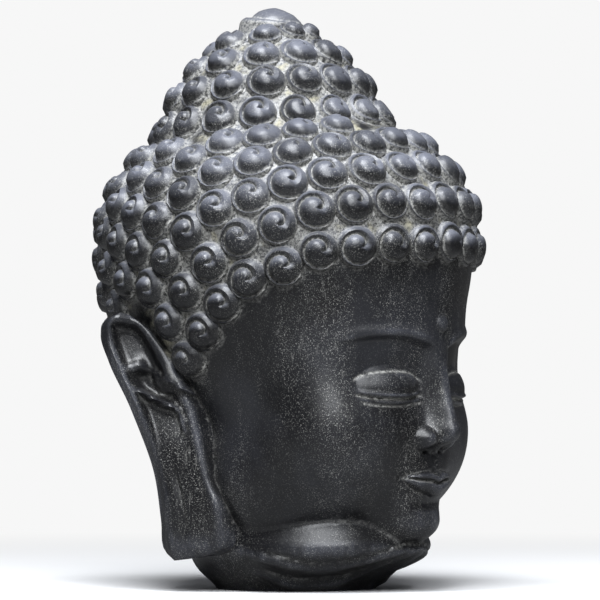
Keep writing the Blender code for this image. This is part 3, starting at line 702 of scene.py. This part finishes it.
def snail_height(rho, t, depth, width):
    """Height of a curl of height 1 by the distance from its middle and the share of the turn."""
    dome = np.sqrt(np.clip(1 - rho ** 2, 0, 1))
    line = groove_at(t)
    inside = np.sqrt(np.clip(1 - (rho / np.maximum(line, 0.3)) ** 2, 0, 1))
    ball = RING_HEIGHT + (1 - RING_HEIGHT) * inside
    across = (rho - line) / np.maximum(1 - line, 0.02)
    ring = RING_HEIGHT * np.clip(1 - np.clip(across, 0, 1) ** 3, 0, 1) ** 0.6
    ring += 0.03 * mound((across - 0.45) / 0.5)
    stepped = np.where(rho < line, ball, ring)
    share = ease(0.02, 0.16, t) * (1 - ease(0.55, 0.88, t))
    fade = ease(0.0, 0.07, t) * (1 - ease(0.93, 1.0, t))
    cut = bead((rho - line) / width) + 0.4 * bead((rho - line) / (2.4 * width))
    return (dome + (stepped - dome) * share) * (1 - depth * fade * cut)


def snail(depth, width):
    """One curl of radius 1 and height 1: a spoke spun into a fan, wound into a spiral and closed below."""
    bm = bmesh.new()
    line = [bm.verts.new((k + 1, 0, 0)) for k in range(len(SNAIL_LINES))]
    edges = [bm.edges.new(pair) for pair in zip(line, line[1:])]
    # the fan stays open, so that its first and its last spoke don't meet yet
    turn = 1.5 * math.pi
    bmesh.ops.spin(
        bm, geom=line + edges, cent=(0, 0, 0), axis=(0, 0, 1), angle=turn, steps=SNAIL_SIDES,
        use_merge=False, use_duplicate=False)
    p = coordinates(bm)
    k = np.rint(np.hypot(p[:, 0], p[:, 1])).astype(int) - 1
    t = np.rint(np.mod(np.arctan2(p[:, 1], p[:, 0]) + 1e-4, 2 * math.pi) / turn * SNAIL_SIDES) / SNAIL_SIDES
    starts = t < 0.001
    ends = t > 0.999
    first = np.array(SNAIL_LINES)
    last = np.append(first[SNAIL_SHIFT:], np.zeros(SNAIL_SHIFT))
    # the groove opens from a hair's breadth and closes where the lines of its start lie
    groove = groove_at(t)
    opened = ease(0, 0.10, t)
    outer = np.where(starts, 1, np.minimum(groove + width * opened, 0.995))
    outer = np.where(ends, last[OUTER], outer)
    inner = groove - (0.06 + (width - 0.06) * opened)
    inner = np.where(ends, last[INNER], inner)
    # the lines between the rim and the groove, as shares of the ring's width
    ring = np.array((0, 0.12, 0.34, 0.64, 1))
    ring_end = (1 - last[:OUTER + 1]) / (1 - last[OUTER])
    share = ease(0.5, 1.0, t)
    at = np.minimum(k, OUTER)
    rim = 1 - (ring[at] * (1 - share) + ring_end[at] * share) * (1 - outer)
    # the lines on the ball inside the groove, as shares of its radius
    ball_first = first / first[INNER]
    ball = np.array((1, 1, 1, 1, 1, 1, 1, 0.80, 0.58, 0.36, 0.16, 0))
    inward = ball_first[k] + (ball[k] - ball_first[k]) * ease(0, 0.25, t)
    inward = inward * (1 - ease(0.76, 1.04, t))
    inward = np.where(ends, 0, inward)
    within = np.where(k == INNER, inner, inner * inward)
    rho = np.where(k <= OUTER, rim, np.where(k == BOTTOM, groove, within))
    angle = SNAIL_START - 2 * math.pi * t
    z = np.where(rho < 1e-6, 1, snail_height(rho, np.minimum(t, 0.9999), depth, width))
    place(bm.verts, np.stack([rho * np.cos(angle), rho * np.sin(angle), z], axis=1))
    bmesh.ops.remove_doubles(bm, verts=bm.verts[:], dist=0.001)
    rim = [e for e in bm.edges if len(e.link_faces) == 1]
    skirt = bmesh.ops.extrude_edge_only(bm, edges=rim)["geom"]
    low = [g for g in skirt if isinstance(g, bmesh.types.BMVert)]
    bmesh.ops.translate(bm, vec=(0, 0, -SKIRT_DEPTH), verts=low)
    bmesh.ops.contextual_create(bm, geom=[g for g in skirt if isinstance(g, bmesh.types.BMEdge)])
    bmesh.ops.triangulate(bm, faces=bm.faces[:])
    bmesh.ops.recalc_face_normals(bm, faces=bm.faces[:])
    return bm


def curl_frames(curls, unevenness):
    """Outward, right and up direction of every curl, each turned and tipped a little."""
    chance = np.random.default_rng(FRAME_SEED)
    n = outward(curls)
    n += CURL_TIP * unevenness * chance.normal(size=n.shape)
    n /= np.linalg.norm(n, axis=1)[:, None]
    up = np.tile(np.array((0.0, 0.35, 1.0)), (len(curls), 1))
    up -= (up * n).sum(axis=1)[:, None] * n
    up /= np.linalg.norm(up, axis=1)[:, None]
    right = np.cross(up, n)
    a = CURL_TWIST * unevenness * chance.normal(size=len(curls))[:, None]
    return n, np.cos(a) * right + np.sin(a) * up, np.cos(a) * up - np.sin(a) * right


def curl_sizes(curls, carving):
    """Radius and height of every curl: the crowded ones near the top are smaller."""
    chance = np.random.default_rng(SIZE_SEED)
    gap = np.linalg.norm(curls[:, None] - curls[None], axis=2) + 9 * np.eye(len(curls))
    radius = np.minimum(carving.curl_radius, CURL_CROWD * gap.min(axis=1))
    height = carving.curl_height * (radius / carving.curl_radius) ** 0.5
    radius *= 1 + CURL_RADIUS_SPREAD * carving.unevenness * chance.normal(size=len(curls)).clip(-2, 1)
    height *= 1 + CURL_HEIGHT_SPREAD * carving.unevenness * chance.normal(size=len(curls)).clip(-2, 1)
    radius[-1] = KNOB_RADIUS
    height[-1] = KNOB_HEIGHT
    return radius, height


def sorted_apart(curls, radius):
    """The curls in a few groups, so that no two of a group touch."""
    groups = []
    for k in range(len(curls)):
        for group in groups:
            far = np.linalg.norm(curls[group] - curls[k], axis=1)
            if (far > CURL_APART * (radius[group] + radius[k])).all():
                group.append(k)
                break
        else:
            groups.append([k])
    return groups


def curl_bodies(curls, carving):
    """The curls as meshes, one for each group of curls that stand apart."""
    radius, height = curl_sizes(curls, carving)
    n, right, up = curl_frames(curls, carving.unevenness)
    one = snail(carving.groove_depth, carving.groove_width)
    shape = coordinates(one)
    mesh = bpy.data.meshes.new("snail")
    one.to_mesh(mesh)
    one.free()
    bodies = []
    for group in sorted_apart(curls, radius):
        bm = bmesh.new()
        for k in group:
            bm.from_mesh(mesh)
            bm.verts.ensure_lookup_table()
            foot = curls[k] + radius[k] * (shape[:, :1] * right[k] + shape[:, 1:2] * up[k])
            laid = foot
            for _ in range(4):
                laid = laid - stone(laid)[:, None] * n[k]
            if k == len(curls) - 1:
                # the knob is flatter than the tip it sits on, and its skirt reaches down to the tip
                laid = laid + KNOB_FLAT * (shape[:, 2:3] >= 0) * (foot - laid)
            place(bm.verts[-len(shape):], laid + height[k] * shape[:, 2:3] * n[k])
        bodies.append(bm)
    bpy.data.meshes.remove(mesh)
    return bodies


def ear_relief(s, v):
    """How far the carving stands out of the ear's plain sheet, by the share across and along."""
    top = (1 - v) * 4.0 + 0.03
    front = s + 0.04 + 1.2 * (1 - ease(0.64, 0.76, v))
    rim = ((1.001 - s) ** -3.0 + top ** -3.0 + front ** -3.0) ** (-1 / 3)
    upper = ease(0.34, 0.58, v)
    d = 0.012 * upper * (1 - ease(0.14, 0.28, rim))
    d -= 0.009 * upper * ease(0.18, 0.32, rim) * ease(0.06, 0.22, s) * (1 - ease(0.0, 0.35, 0.62 - v))
    low = np.hypot((s - 0.42) / 0.30, (v - 0.710) / 0.075)
    d -= 0.010 * (1 - ease(0.5, 1.05, low))
    leg = (v - 0.770 + 0.14 * (s - 0.6)) / 0.024
    d += 0.012 * bead(leg) * ease(0.34, 0.54, s) * (1 - ease(0.68, 0.84, s))
    ball = np.hypot((s - 0.27) / 0.16, (v - 0.735) / 0.050)
    d += 0.015 * np.clip(1 - ball * ball, 0, 1)
    ridge = (v - 0.632 - 0.06 * (s - 0.45)) / 0.024
    d += 0.017 * bead(ridge) * ease(0.10, 0.22, s) * (1 - ease(0.66, 0.84, s))
    drop = np.hypot((s - 0.19) / 0.065, (v - 0.560) / 0.065)
    d += 0.010 * np.clip(1 - drop * drop, 0, 1) ** 0.6
    groove = bead((s - 0.58) / 0.045) * ease(0.06, 0.14, v) * (1 - ease(0.30, 0.42, v))
    edge = np.minimum(np.minimum(1 - s, top), v * 3.0)
    return d - 0.005 * groove - 0.010 * (1 - ease(0.0, 0.16, edge))


def ear(side):
    """One ear, rooted in the head and standing off it toward the back; side is -1 for the head's right."""
    bm = bmesh.new()
    bmesh.ops.create_grid(bm, x_segments=EAR_ACROSS, y_segments=EAR_ALONG, size=1)
    bmesh.ops.solidify(bm, geom=bm.faces[:], thickness=1)
    p = coordinates(bm)
    outer = np.abs(p[:, 2]) < 0.5
    s = (p[:, 0] + 1) / 2 * (1 + EAR_ROOT) - EAR_ROOT
    v = ((p[:, 1] + 1) / 2) ** 0.8
    front = np.stack([curve([(key[0], key[k]) for key in EAR_FRONT], v) for k in (1, 2, 3)], axis=1)
    back = np.stack([curve([(key[0], key[k]) for key in EAR_BACK], v) for k in (1, 2, 3)], axis=1)
    sheet = front + (back - front) * s[:, None]
    way = (back - front) / np.linalg.norm(back - front, axis=1)[:, None]
    facing = np.cross(way, np.array(EAR_LEAN))
    facing /= np.linalg.norm(facing, axis=1)[:, None]
    lift = np.where(outer, ear_relief(np.clip(s, 0, 1), v), -EAR_THICKNESS)
    sheet += facing * (lift - 0.03 * ease(0.0, EAR_ROOT, -s))[:, None]
    sheet *= np.array((GIRTH, GIRTH, 1))
    # the bottom of the ear's hollow stays clear of the scalp behind it
    clear = 0.006 * ease(0.06, 0.20, s) * ease(0.40, 0.55, v)
    for _ in range(4):
        sheet += facing * (np.clip(clear - stone(sheet), 0, 0.01) * (outer & (clear > 0)))[:, None]
    place(bm.verts, sheet * np.array((side, 1, 1)))
    bmesh.ops.recalc_face_normals(bm, faces=bm.faces[:])
    bmesh.ops.triangulate(bm, faces=bm.faces[:])
    return bm


def as_object(bm, name):
    """The bmesh as an object of the scene."""
    mesh = bpy.data.meshes.new(name)
    bm.to_mesh(mesh)
    bm.free()
    made = bpy.data.objects.new(name, mesh)
    bpy.context.scene.collection.objects.link(made)
    return made


def joined(body, bm):
    """The body united with one more closed shape."""
    part = as_object(bm, "part")
    union = body.modifiers.new("part", "BOOLEAN")
    union.operation = "UNION"
    union.solver = "MANIFOLD"
    union.object = part
    bpy.context.view_layer.objects.active = body
    bpy.ops.object.modifier_apply(modifier=union.name)
    mesh = part.data
    bpy.data.objects.remove(part)
    bpy.data.meshes.remove(mesh)


def spread(values, ends, count, rounds):
    """Values at the vertices, averaged with their neighbours' a number of times."""
    for _ in range(rounds):
        total = np.stack([
            np.bincount(ends[:, 0], values[ends[:, 1], k], count) +
            np.bincount(ends[:, 1], values[ends[:, 0], k], count) for k in range(values.shape[1])], axis=1)
        share = np.bincount(ends.ravel(), minlength=count)[:, None]
        values = 0.5 * values + 0.5 * total / np.maximum(share, 1)
    return values


def hollowness(p, n, ends, rounds):
    """How far the surface lies below its surroundings at each vertex."""
    return ((spread(p, ends, len(p), rounds) - p) * n).sum(axis=1)


def curl_marks(p, curls, carving):
    """Nearness to a spiral groove, distance to the nearest curl's middle, and that curl's own tone."""
    radius, _ = curl_sizes(curls, carving)
    n, right, up = curl_frames(curls, carving.unevenness)
    own = np.random.default_rng(TONE_SEED).random(len(curls))
    groove = np.zeros(len(p))
    reach = np.zeros(len(p))
    tone = np.zeros(len(p))
    for first in range(0, len(p), BATCH):
        part = slice(first, first + BATCH)
        gap = p[part, None] - curls[None]
        gap -= (gap * n[None]).sum(axis=2)[:, :, None] * n[None] * 0.8
        far = np.linalg.norm(gap, axis=2) / radius[None]
        near = far.argmin(axis=1)
        pick = np.arange(len(near))
        gap = gap[pick, near]
        x = (gap * right[near]).sum(axis=1) / radius[near]
        y = (gap * up[near]).sum(axis=1) / radius[near]
        rho = np.hypot(x, y)
        t = np.mod((SNAIL_START - np.arctan2(y, x)) / (2 * math.pi), 1)
        fade = ease(0.0, 0.05, t) * (1 - ease(0.94, 1.0, t))
        groove[part] = bead((rho - groove_at(t)) / (0.65 * carving.groove_width)) * fade
        reach[part] = far[pick, near]
        tone[part] = own[near]
    return groove, reach, tone


def face_lines(p):
    """Nearness to the lines cut into the lids and the lips, where pale dust has stayed."""
    q = folded(p / np.array((GIRTH, GIRTH, 1)))
    x = q[:, 0]
    z = q[:, 2]
    u = (x - EYE_OUT) / EYE_HALF
    near = 1 - ease(0.92, 1.12, np.abs(u))
    above = z - lid_slit(u)
    lines = near * (bead(above / 0.0022) + 0.8 * bead((z - lid_crease(u)) / 0.0020)
                    + 0.7 * bead((above + LID_LINE_DROP) / 0.0018))
    s = np.clip(x / MOUTH_HALF, 0, 1)
    lines += 0.6 * (1 - ease(0.9, 1.1, x / MOUTH_HALF)) * bead((z - lip_line(s)) / 0.0022)
    return lines * (q[:, 1] < -0.15)


def marked(mesh, curls, carving):
    """Stores on every vertex what the stone's finish reads: dust, lime, wear, hair, tone, and top for a
    painted sheen.
    """
    count = len(mesh.vertices)
    p = np.empty(count * 3)
    n = np.empty(count * 3)
    ends = np.empty(len(mesh.edges) * 2, int)
    mesh.vertices.foreach_get("co", p)
    mesh.vertices.foreach_get("normal", n)
    mesh.edges.foreach_get("vertices", ends)
    p = p.reshape(-1, 3)
    n = n.reshape(-1, 3)
    ends = ends.reshape(-1, 2)
    groove, reach, tone = curl_marks(p, curls, carving)
    # a hollow counts by how deep it is for the mean length of the edges around
    length = np.linalg.norm(p[ends[:, 0]] - p[ends[:, 1]], axis=1)
    length = spread(np.bincount(ends.ravel(), np.repeat(length, 2), count)[:, None]
                    / np.bincount(ends.ravel(), minlength=count)[:, None], ends, count, 3)[:, 0]
    fine = hollowness(p, n, ends, 3) / length
    broad = hollowness(p, n, ends, 16) / length
    hair = 1 - ease(1.02, 1.12, reach)
    # gaps between curls lie on the scalp, not on an ear and not on what else stands off the scalp
    root, rim, eared = ear_edges(p)
    on_ear = eared * ease(-0.014, -0.006, p[:, 1] - root) * (1 - ease(0.004, 0.012, p[:, 1] - rim))
    off_ear = (1 - on_ear) * (1 - ease(0.006, 0.012, stone(p)) * (1 - hair))
    cap = ease(-0.008, 0.010, p[:, 2] - curve(LOWEST_ROW, turned(p))) * off_ear
    gap = ease(0.90, 1.00, reach) * (1 - ease(1.20, 1.45, reach)) * cap
    pocket = ease(1.00, 1.12, reach) * (1 - ease(1.25, 1.45, reach)) * cap
    foot = bead((reach - 0.99) / 0.05)
    dust = DUST_FINE * ease(0.16, 0.45, fine) * (1 - hair) + groove * hair
    dust = dust + DUST_GAP * gap + DUST_FOOT * foot
    dust = np.clip(dust + DUST_FACE * face_lines(p), 0, 1)
    wear = ease(0.10, 0.60, -broad) * (1 - hair)
    values = {
        "dust": dust, "lime": pocket, "wear": wear, "hair": hair, "tone": tone,
        # top: how far the surface faces up, used to paint sheen from above onto the curls
        "top": np.clip(0.5 + 0.5 * n[:, 2], 0, 1),
    }
    for name, value in values.items():
        layer = mesh.attributes.new(name, "FLOAT", "POINT")
        layer.data.foreach_set("value", value.astype(np.float32))


def fitted(mesh):
    """The carving brought to its real size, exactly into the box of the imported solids."""
    p = np.empty(len(mesh.vertices) * 3)
    mesh.vertices.foreach_get("co", p)
    p = p.reshape(-1, 3)
    low, high = np.array(CAD_BOX)
    p[:, 2] *= high[2] / p[:, 2].max()
    for k in (0, 1):
        p[:, k] = np.where(p[:, k] < 0, p[:, k] * low[k] / p[:, k].min(), p[:, k] * high[k] / p[:, k].max())
    mesh.vertices.foreach_set("co", p.ravel())
    mesh.update()


def nodes_of(name):
    """A new material with its node tree and its shader."""
    material = bpy.data.materials.new(name)
    material.use_nodes = True
    tree = material.node_tree
    return material, tree, tree.nodes["Principled BSDF"]


class Graph:
    """Short ways to add and join the nodes of a material."""

    def __init__(self, tree):
        self.tree = tree
        self.spot = 0

    def add(self, kind, **sockets):
        node = self.tree.nodes.new(kind)
        node.location = (-200 - 180 * (self.spot // 6), 300 - 160 * (self.spot % 6))
        self.spot += 1
        for name, value in sockets.items():
            key = name.replace("_", " ")
            self.put(value, node.inputs[key])
        return node

    def put(self, value, socket):
        if isinstance(value, bpy.types.NodeSocket):
            self.tree.links.new(value, socket)
        else:
            socket.default_value = value

    def mark(self, name):
        node = self.add("ShaderNodeAttribute")
        node.attribute_name = name
        return node.outputs["Fac"]

    def math(self, operation, a, b=0.0, clamp=False):
        node = self.add("ShaderNodeMath")
        node.operation = operation
        node.use_clamp = clamp
        self.put(a, node.inputs[0])
        self.put(b, node.inputs[1])
        return node.outputs[0]

    def between(self, value, low, high, out_low=0.0, out_high=1.0):
        node = self.add("ShaderNodeMapRange")
        node.interpolation_type = "SMOOTHSTEP"
        self.put(value, node.inputs["Value"])
        span = {"From Min": low, "From Max": high, "To Min": out_low, "To Max": out_high}
        for key, number in span.items():
            node.inputs[key].default_value = number
        return node.outputs["Result"]

    def noise(self, where, scale, detail=4.0, rough=0.55):
        node = self.add("ShaderNodeTexNoise", Vector=where, Scale=scale, Detail=detail, Roughness=rough)
        return node.outputs["Fac"]

    def blended(self, share, a, b):
        node = self.add("ShaderNodeMix")
        node.data_type = "RGBA"
        self.put(share, node.inputs["Factor"])
        self.put(a, node.inputs["A"])
        self.put(b, node.inputs["B"])
        return node.outputs["Result"]


def dark_stone(carving):
    """Blackened stone: satin, with pale dust in the cuts, lime between the curls, rubbed edges and a
    painted sheen on the curls' upward faces.
    """
    material, tree, shader = nodes_of("dark_stone")
    g = Graph(tree)
    where = g.add("ShaderNodeTexCoord").outputs["Object"]
    upright = g.add("ShaderNodeMapping", Vector=where, Scale=(1.0, 1.0, 0.22)).outputs["Vector"]
    dust = g.mark("dust")
    hair = g.mark("hair")
    lime = g.mark("lime")
    wear = g.mark("wear")
    top = g.mark("top")
    tone = g.mark("tone")
    dusty = tuple(carving.dust_colour)

    cloud = g.noise(where, 9.0, 5.0)
    grain = g.noise(where, 420.0, 3.0, 0.7)
    fleck = g.noise(where, 950.0, 2.0, 0.8)
    streak = g.noise(upright, 260.0, 3.0, 0.65)
    patch = g.noise(upright, 30.0, 5.0, 0.65)

    bare = g.math("SUBTRACT", 1.0, hair)
    worn_and_sheen_share = g.between(cloud, 0.42, 0.70, 0.0, 0.12)
    worn_and_sheen_share = g.math("ADD", worn_and_sheen_share, g.math("MULTIPLY", wear, g.between(patch, 0.40, 0.62, 0.05, 0.30)))
    # painted sheen: the curls turn lighter and bluer where they face up, standing in for light from above
    high = g.between(top, 0.42, 0.92)
    painted_sheen = g.math("MULTIPLY", g.math("MULTIPLY", hair, high), g.between(tone, 0.0, 1.0, 0.45, 1.0))
    worn_and_sheen_share = g.math("ADD", worn_and_sheen_share, painted_sheen, clamp=True)
    # the stone colour mixes toward the worn colour both for rubbed places and for the painted sheen
    colour = g.blended(worn_and_sheen_share, tuple(carving.stone_colour), tuple(carving.worn_and_sheen_colour))

    speck = g.math("MULTIPLY", g.between(fleck, 0.57, 0.66), g.between(patch, 0.38, 0.66, 0.14, 1.0))
    colour = g.blended(g.math("MULTIPLY", speck, 0.60), colour, dusty)
    thread = g.math("MULTIPLY", g.between(streak, 0.58, 0.74), g.between(patch, 0.44, 0.66))
    thread = g.math("MULTIPLY", thread, bare)
    colour = g.blended(g.math("MULTIPLY", thread, 0.22), colour, dusty)

    broken = g.between(grain, 0.38, 0.60, 0.10, 1.0)
    settled = g.math("MULTIPLY", dust, broken)
    colour = g.blended(g.math("MULTIPLY", settled, 0.90), colour, dusty)
    crust = g.math("MULTIPLY", lime, g.between(g.noise(where, 45.0, 4.0), 0.46, 0.64))
    crust = g.math("MULTIPLY", crust, g.between(grain, 0.34, 0.54, 0.35, 1.0))
    colour = g.blended(g.math("MULTIPLY", crust, 0.80), colour, tuple(carving.lime_colour))
    tree.links.new(colour, shader.inputs["Base Color"])

    rough = g.between(cloud, 0.35, 0.70, 0.25, 0.34)
    rough = g.math("ADD", rough, g.math("MULTIPLY", grain, 0.10))
    matt = g.math("ADD", g.math("MULTIPLY", settled, 0.30), g.math("MULTIPLY", crust, 0.35))
    rough = g.math("ADD", rough, matt, clamp=True)
    tree.links.new(rough, shader.inputs["Roughness"])
    shader.inputs["Specular IOR Level"].default_value = 0.50
    shader.inputs["Metallic"].default_value = 0.0

    pores = g.add("ShaderNodeTexVoronoi", Vector=where, Scale=330.0)
    pit = g.between(pores.outputs["Distance"], 0.05, 0.30)
    pit = g.math("MULTIPLY", pit, g.between(patch, 0.40, 0.60, 0.35, 1.0))
    height = g.math("ADD", g.math("MULTIPLY", grain, 0.40), g.math("MULTIPLY", pit, 0.20))
    height = g.math("ADD", height, g.math("MULTIPLY", g.noise(where, 90.0, 3.0), 0.8))
    bump = g.add("ShaderNodeBump", Strength=0.28, Distance=0.0010, Height=height)
    tree.links.new(bump.outputs["Normal"], shader.inputs["Normal"])
    return material


class STONEHEAD_OT_carve(bpy.types.Operator):
    """Carve the head with its snail curls, ears and folded neck, and give it the stone's finish"""
    bl_idname = "stonehead.carve"
    bl_label = "Carve the Head"

    def execute(self, context):
        carving = context.scene.head_carving
        knot = knot_rows()
        curls = np.concatenate([thinned(evened(cap_rows(), knot), knot), knot])
        body = as_object(head_skin(), "carved_head")
        for side in (-1, 1):
            joined(body, ear(side))
        for bm in curl_bodies(curls, carving):
            joined(body, bm)
        mesh = body.data
        marked(mesh, curls, carving)
        fitted(mesh)
        mesh.shade_smooth()
        mesh.set_sharp_from_angle(angle=math.radians(50))
        mesh.materials.clear()
        mesh.materials.append(dark_stone(carving))
        if len(mesh.polygons) < FEWEST_FACES:
            raise RuntimeError("the head's parts did not unite")
        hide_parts("buddha_head")
        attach(body, "root")
        return {"FINISHED"}


def lit(name, spot, power, width):
    """A soft square light that faces the middle of the head."""
    light = bpy.data.lights.new(name, "AREA")
    light.energy = power
    light.size = width
    light.color = LIGHT_COLOUR
    lamp = bpy.data.objects.new(name, light)
    lamp.location = spot
    lamp.rotation_euler = (Vector(AIM) - Vector(spot)).to_track_quat("-Z", "Y").to_euler()
    bpy.context.scene.collection.objects.link(lamp)


def floor_finish(stage):
    """A pale matt floor that runs out into the white room and throws little light back on the stone."""
    material, tree, shader = nodes_of("pale_floor")
    g = Graph(tree)
    where = g.add("ShaderNodeTexCoord").outputs["Object"]
    faint = g.between(g.noise(where, 3.0), 0.3, 0.7)
    pale = tuple(stage.floor_colour)
    duller = tuple(0.985 * c for c in pale[:3]) + (1.0,)
    seen = g.add("ShaderNodeLightPath").outputs["Is Camera Ray"]
    dim = tuple(FLOOR_DIM * c for c in pale[:3]) + (1.0,)
    tree.links.new(g.blended(seen, dim, g.blended(faint, pale, duller)), shader.inputs["Base Color"])
    shader.inputs["Roughness"].default_value = 0.9
    shader.inputs["Specular IOR Level"].default_value = 0.1
    reach = g.add("ShaderNodeVectorMath", Vector=where)
    reach.operation = "LENGTH"
    room = g.add("ShaderNodeEmission", Color=pale, Strength=g.math("MAXIMUM", seen, FLOOR_GLOW))
    either = g.add("ShaderNodeMixShader", Fac=g.between(reach.outputs["Value"], 0.25, 1.6))
    tree.links.new(shader.outputs["BSDF"], either.inputs[1])
    tree.links.new(room.outputs["Emission"], either.inputs[2])
    tree.links.new(either.outputs["Shader"], tree.nodes["Material Output"].inputs["Surface"])
    return material


class STONEHEAD_OT_stage(bpy.types.Operator):
    """Lay the pale floor, hang the soft lights and set up the camera"""
    bl_idname = "stonehead.stage"
    bl_label = "Set the Stage"

    def execute(self, context):
        stage = context.scene.head_stage
        bm = bmesh.new()
        bmesh.ops.create_grid(bm, x_segments=2, y_segments=2, size=stage.floor_size / 2)
        floor = as_object(bm, "floor")
        floor.data.materials.append(floor_finish(stage))

        world = bpy.data.worlds.new("white room")
        context.scene.world = world
        world.use_nodes = True
        tree = world.node_tree
        sky = tree.nodes["Background"]
        sky.inputs["Color"].default_value = tuple(stage.floor_colour)
        sky.inputs["Strength"].default_value = 1.0
        dim = tree.nodes.new("ShaderNodeBackground")
        dim.inputs["Color"].default_value = ROOM_COLOUR
        dim.inputs["Strength"].default_value = ROOM_DIM * stage.light_power
        path = tree.nodes.new("ShaderNodeLightPath")
        either = tree.nodes.new("ShaderNodeMixShader")
        tree.links.new(path.outputs["Is Camera Ray"], either.inputs["Fac"])
        tree.links.new(dim.outputs["Background"], either.inputs[1])
        tree.links.new(sky.outputs["Background"], either.inputs[2])
        tree.links.new(either.outputs["Shader"], tree.nodes["World Output"].inputs["Surface"])
        context.scene.view_settings.view_transform = "Standard"

        for name, spot, power, width in LIGHTS:
            lit(name, spot, power * stage.light_power, width)

        camera = bpy.data.cameras.new("camera")
        camera.sensor_width = SENSOR_WIDTH
        camera.lens = LENS
        camera.shift_x = SHIFT_X
        camera.shift_y = SHIFT_Y
        camera.clip_start = 0.05
        eye = bpy.data.objects.new("camera", camera)
        back = Vector((
            math.sin(stage.turn) * math.cos(stage.rise),
            -math.cos(stage.turn) * math.cos(stage.rise),
            math.sin(stage.rise)))
        eye.location = Vector(AIM) + back * stage.distance
        eye.rotation_euler = back.to_track_quat("Z", "Y").to_euler()
        context.scene.collection.objects.link(eye)
        context.scene.camera = eye
        return {"FINISHED"}


class STONEHEAD_PT_panel(bpy.types.Panel):
    """The steps that make the stone head"""
    bl_idname = "STONEHEAD_PT_panel"
    bl_label = "Stone Head"
    bl_space_type = "VIEW_3D"
    bl_region_type = "UI"
    bl_category = "Stone Head"

    def draw(self, context):
        layout = self.layout
        for step, settings in (
            (STONEHEAD_OT_carve, context.scene.head_carving),
            (STONEHEAD_OT_stage, context.scene.head_stage),
        ):
            box = layout.box()
            for name in settings.__annotations__:
                box.prop(settings, name)
            box.operator(step.bl_idname)


CLASSES = (HeadCarving, HeadStage, STONEHEAD_OT_carve, STONEHEAD_OT_stage, STONEHEAD_PT_panel)


def register():
    for each in CLASSES:
        bpy.utils.register_class(each)
    bpy.types.Scene.head_carving = bpy.props.PointerProperty(type=HeadCarving)
    bpy.types.Scene.head_stage = bpy.props.PointerProperty(type=HeadStage)


def unregister():
    del bpy.types.Scene.head_stage
    del bpy.types.Scene.head_carving
    for each in reversed(CLASSES):
        bpy.utils.unregister_class(each)


def main():
    register()
    bpy.ops.stonehead.carve()
    bpy.ops.stonehead.stage()


if __name__ == "__main__":
    main()
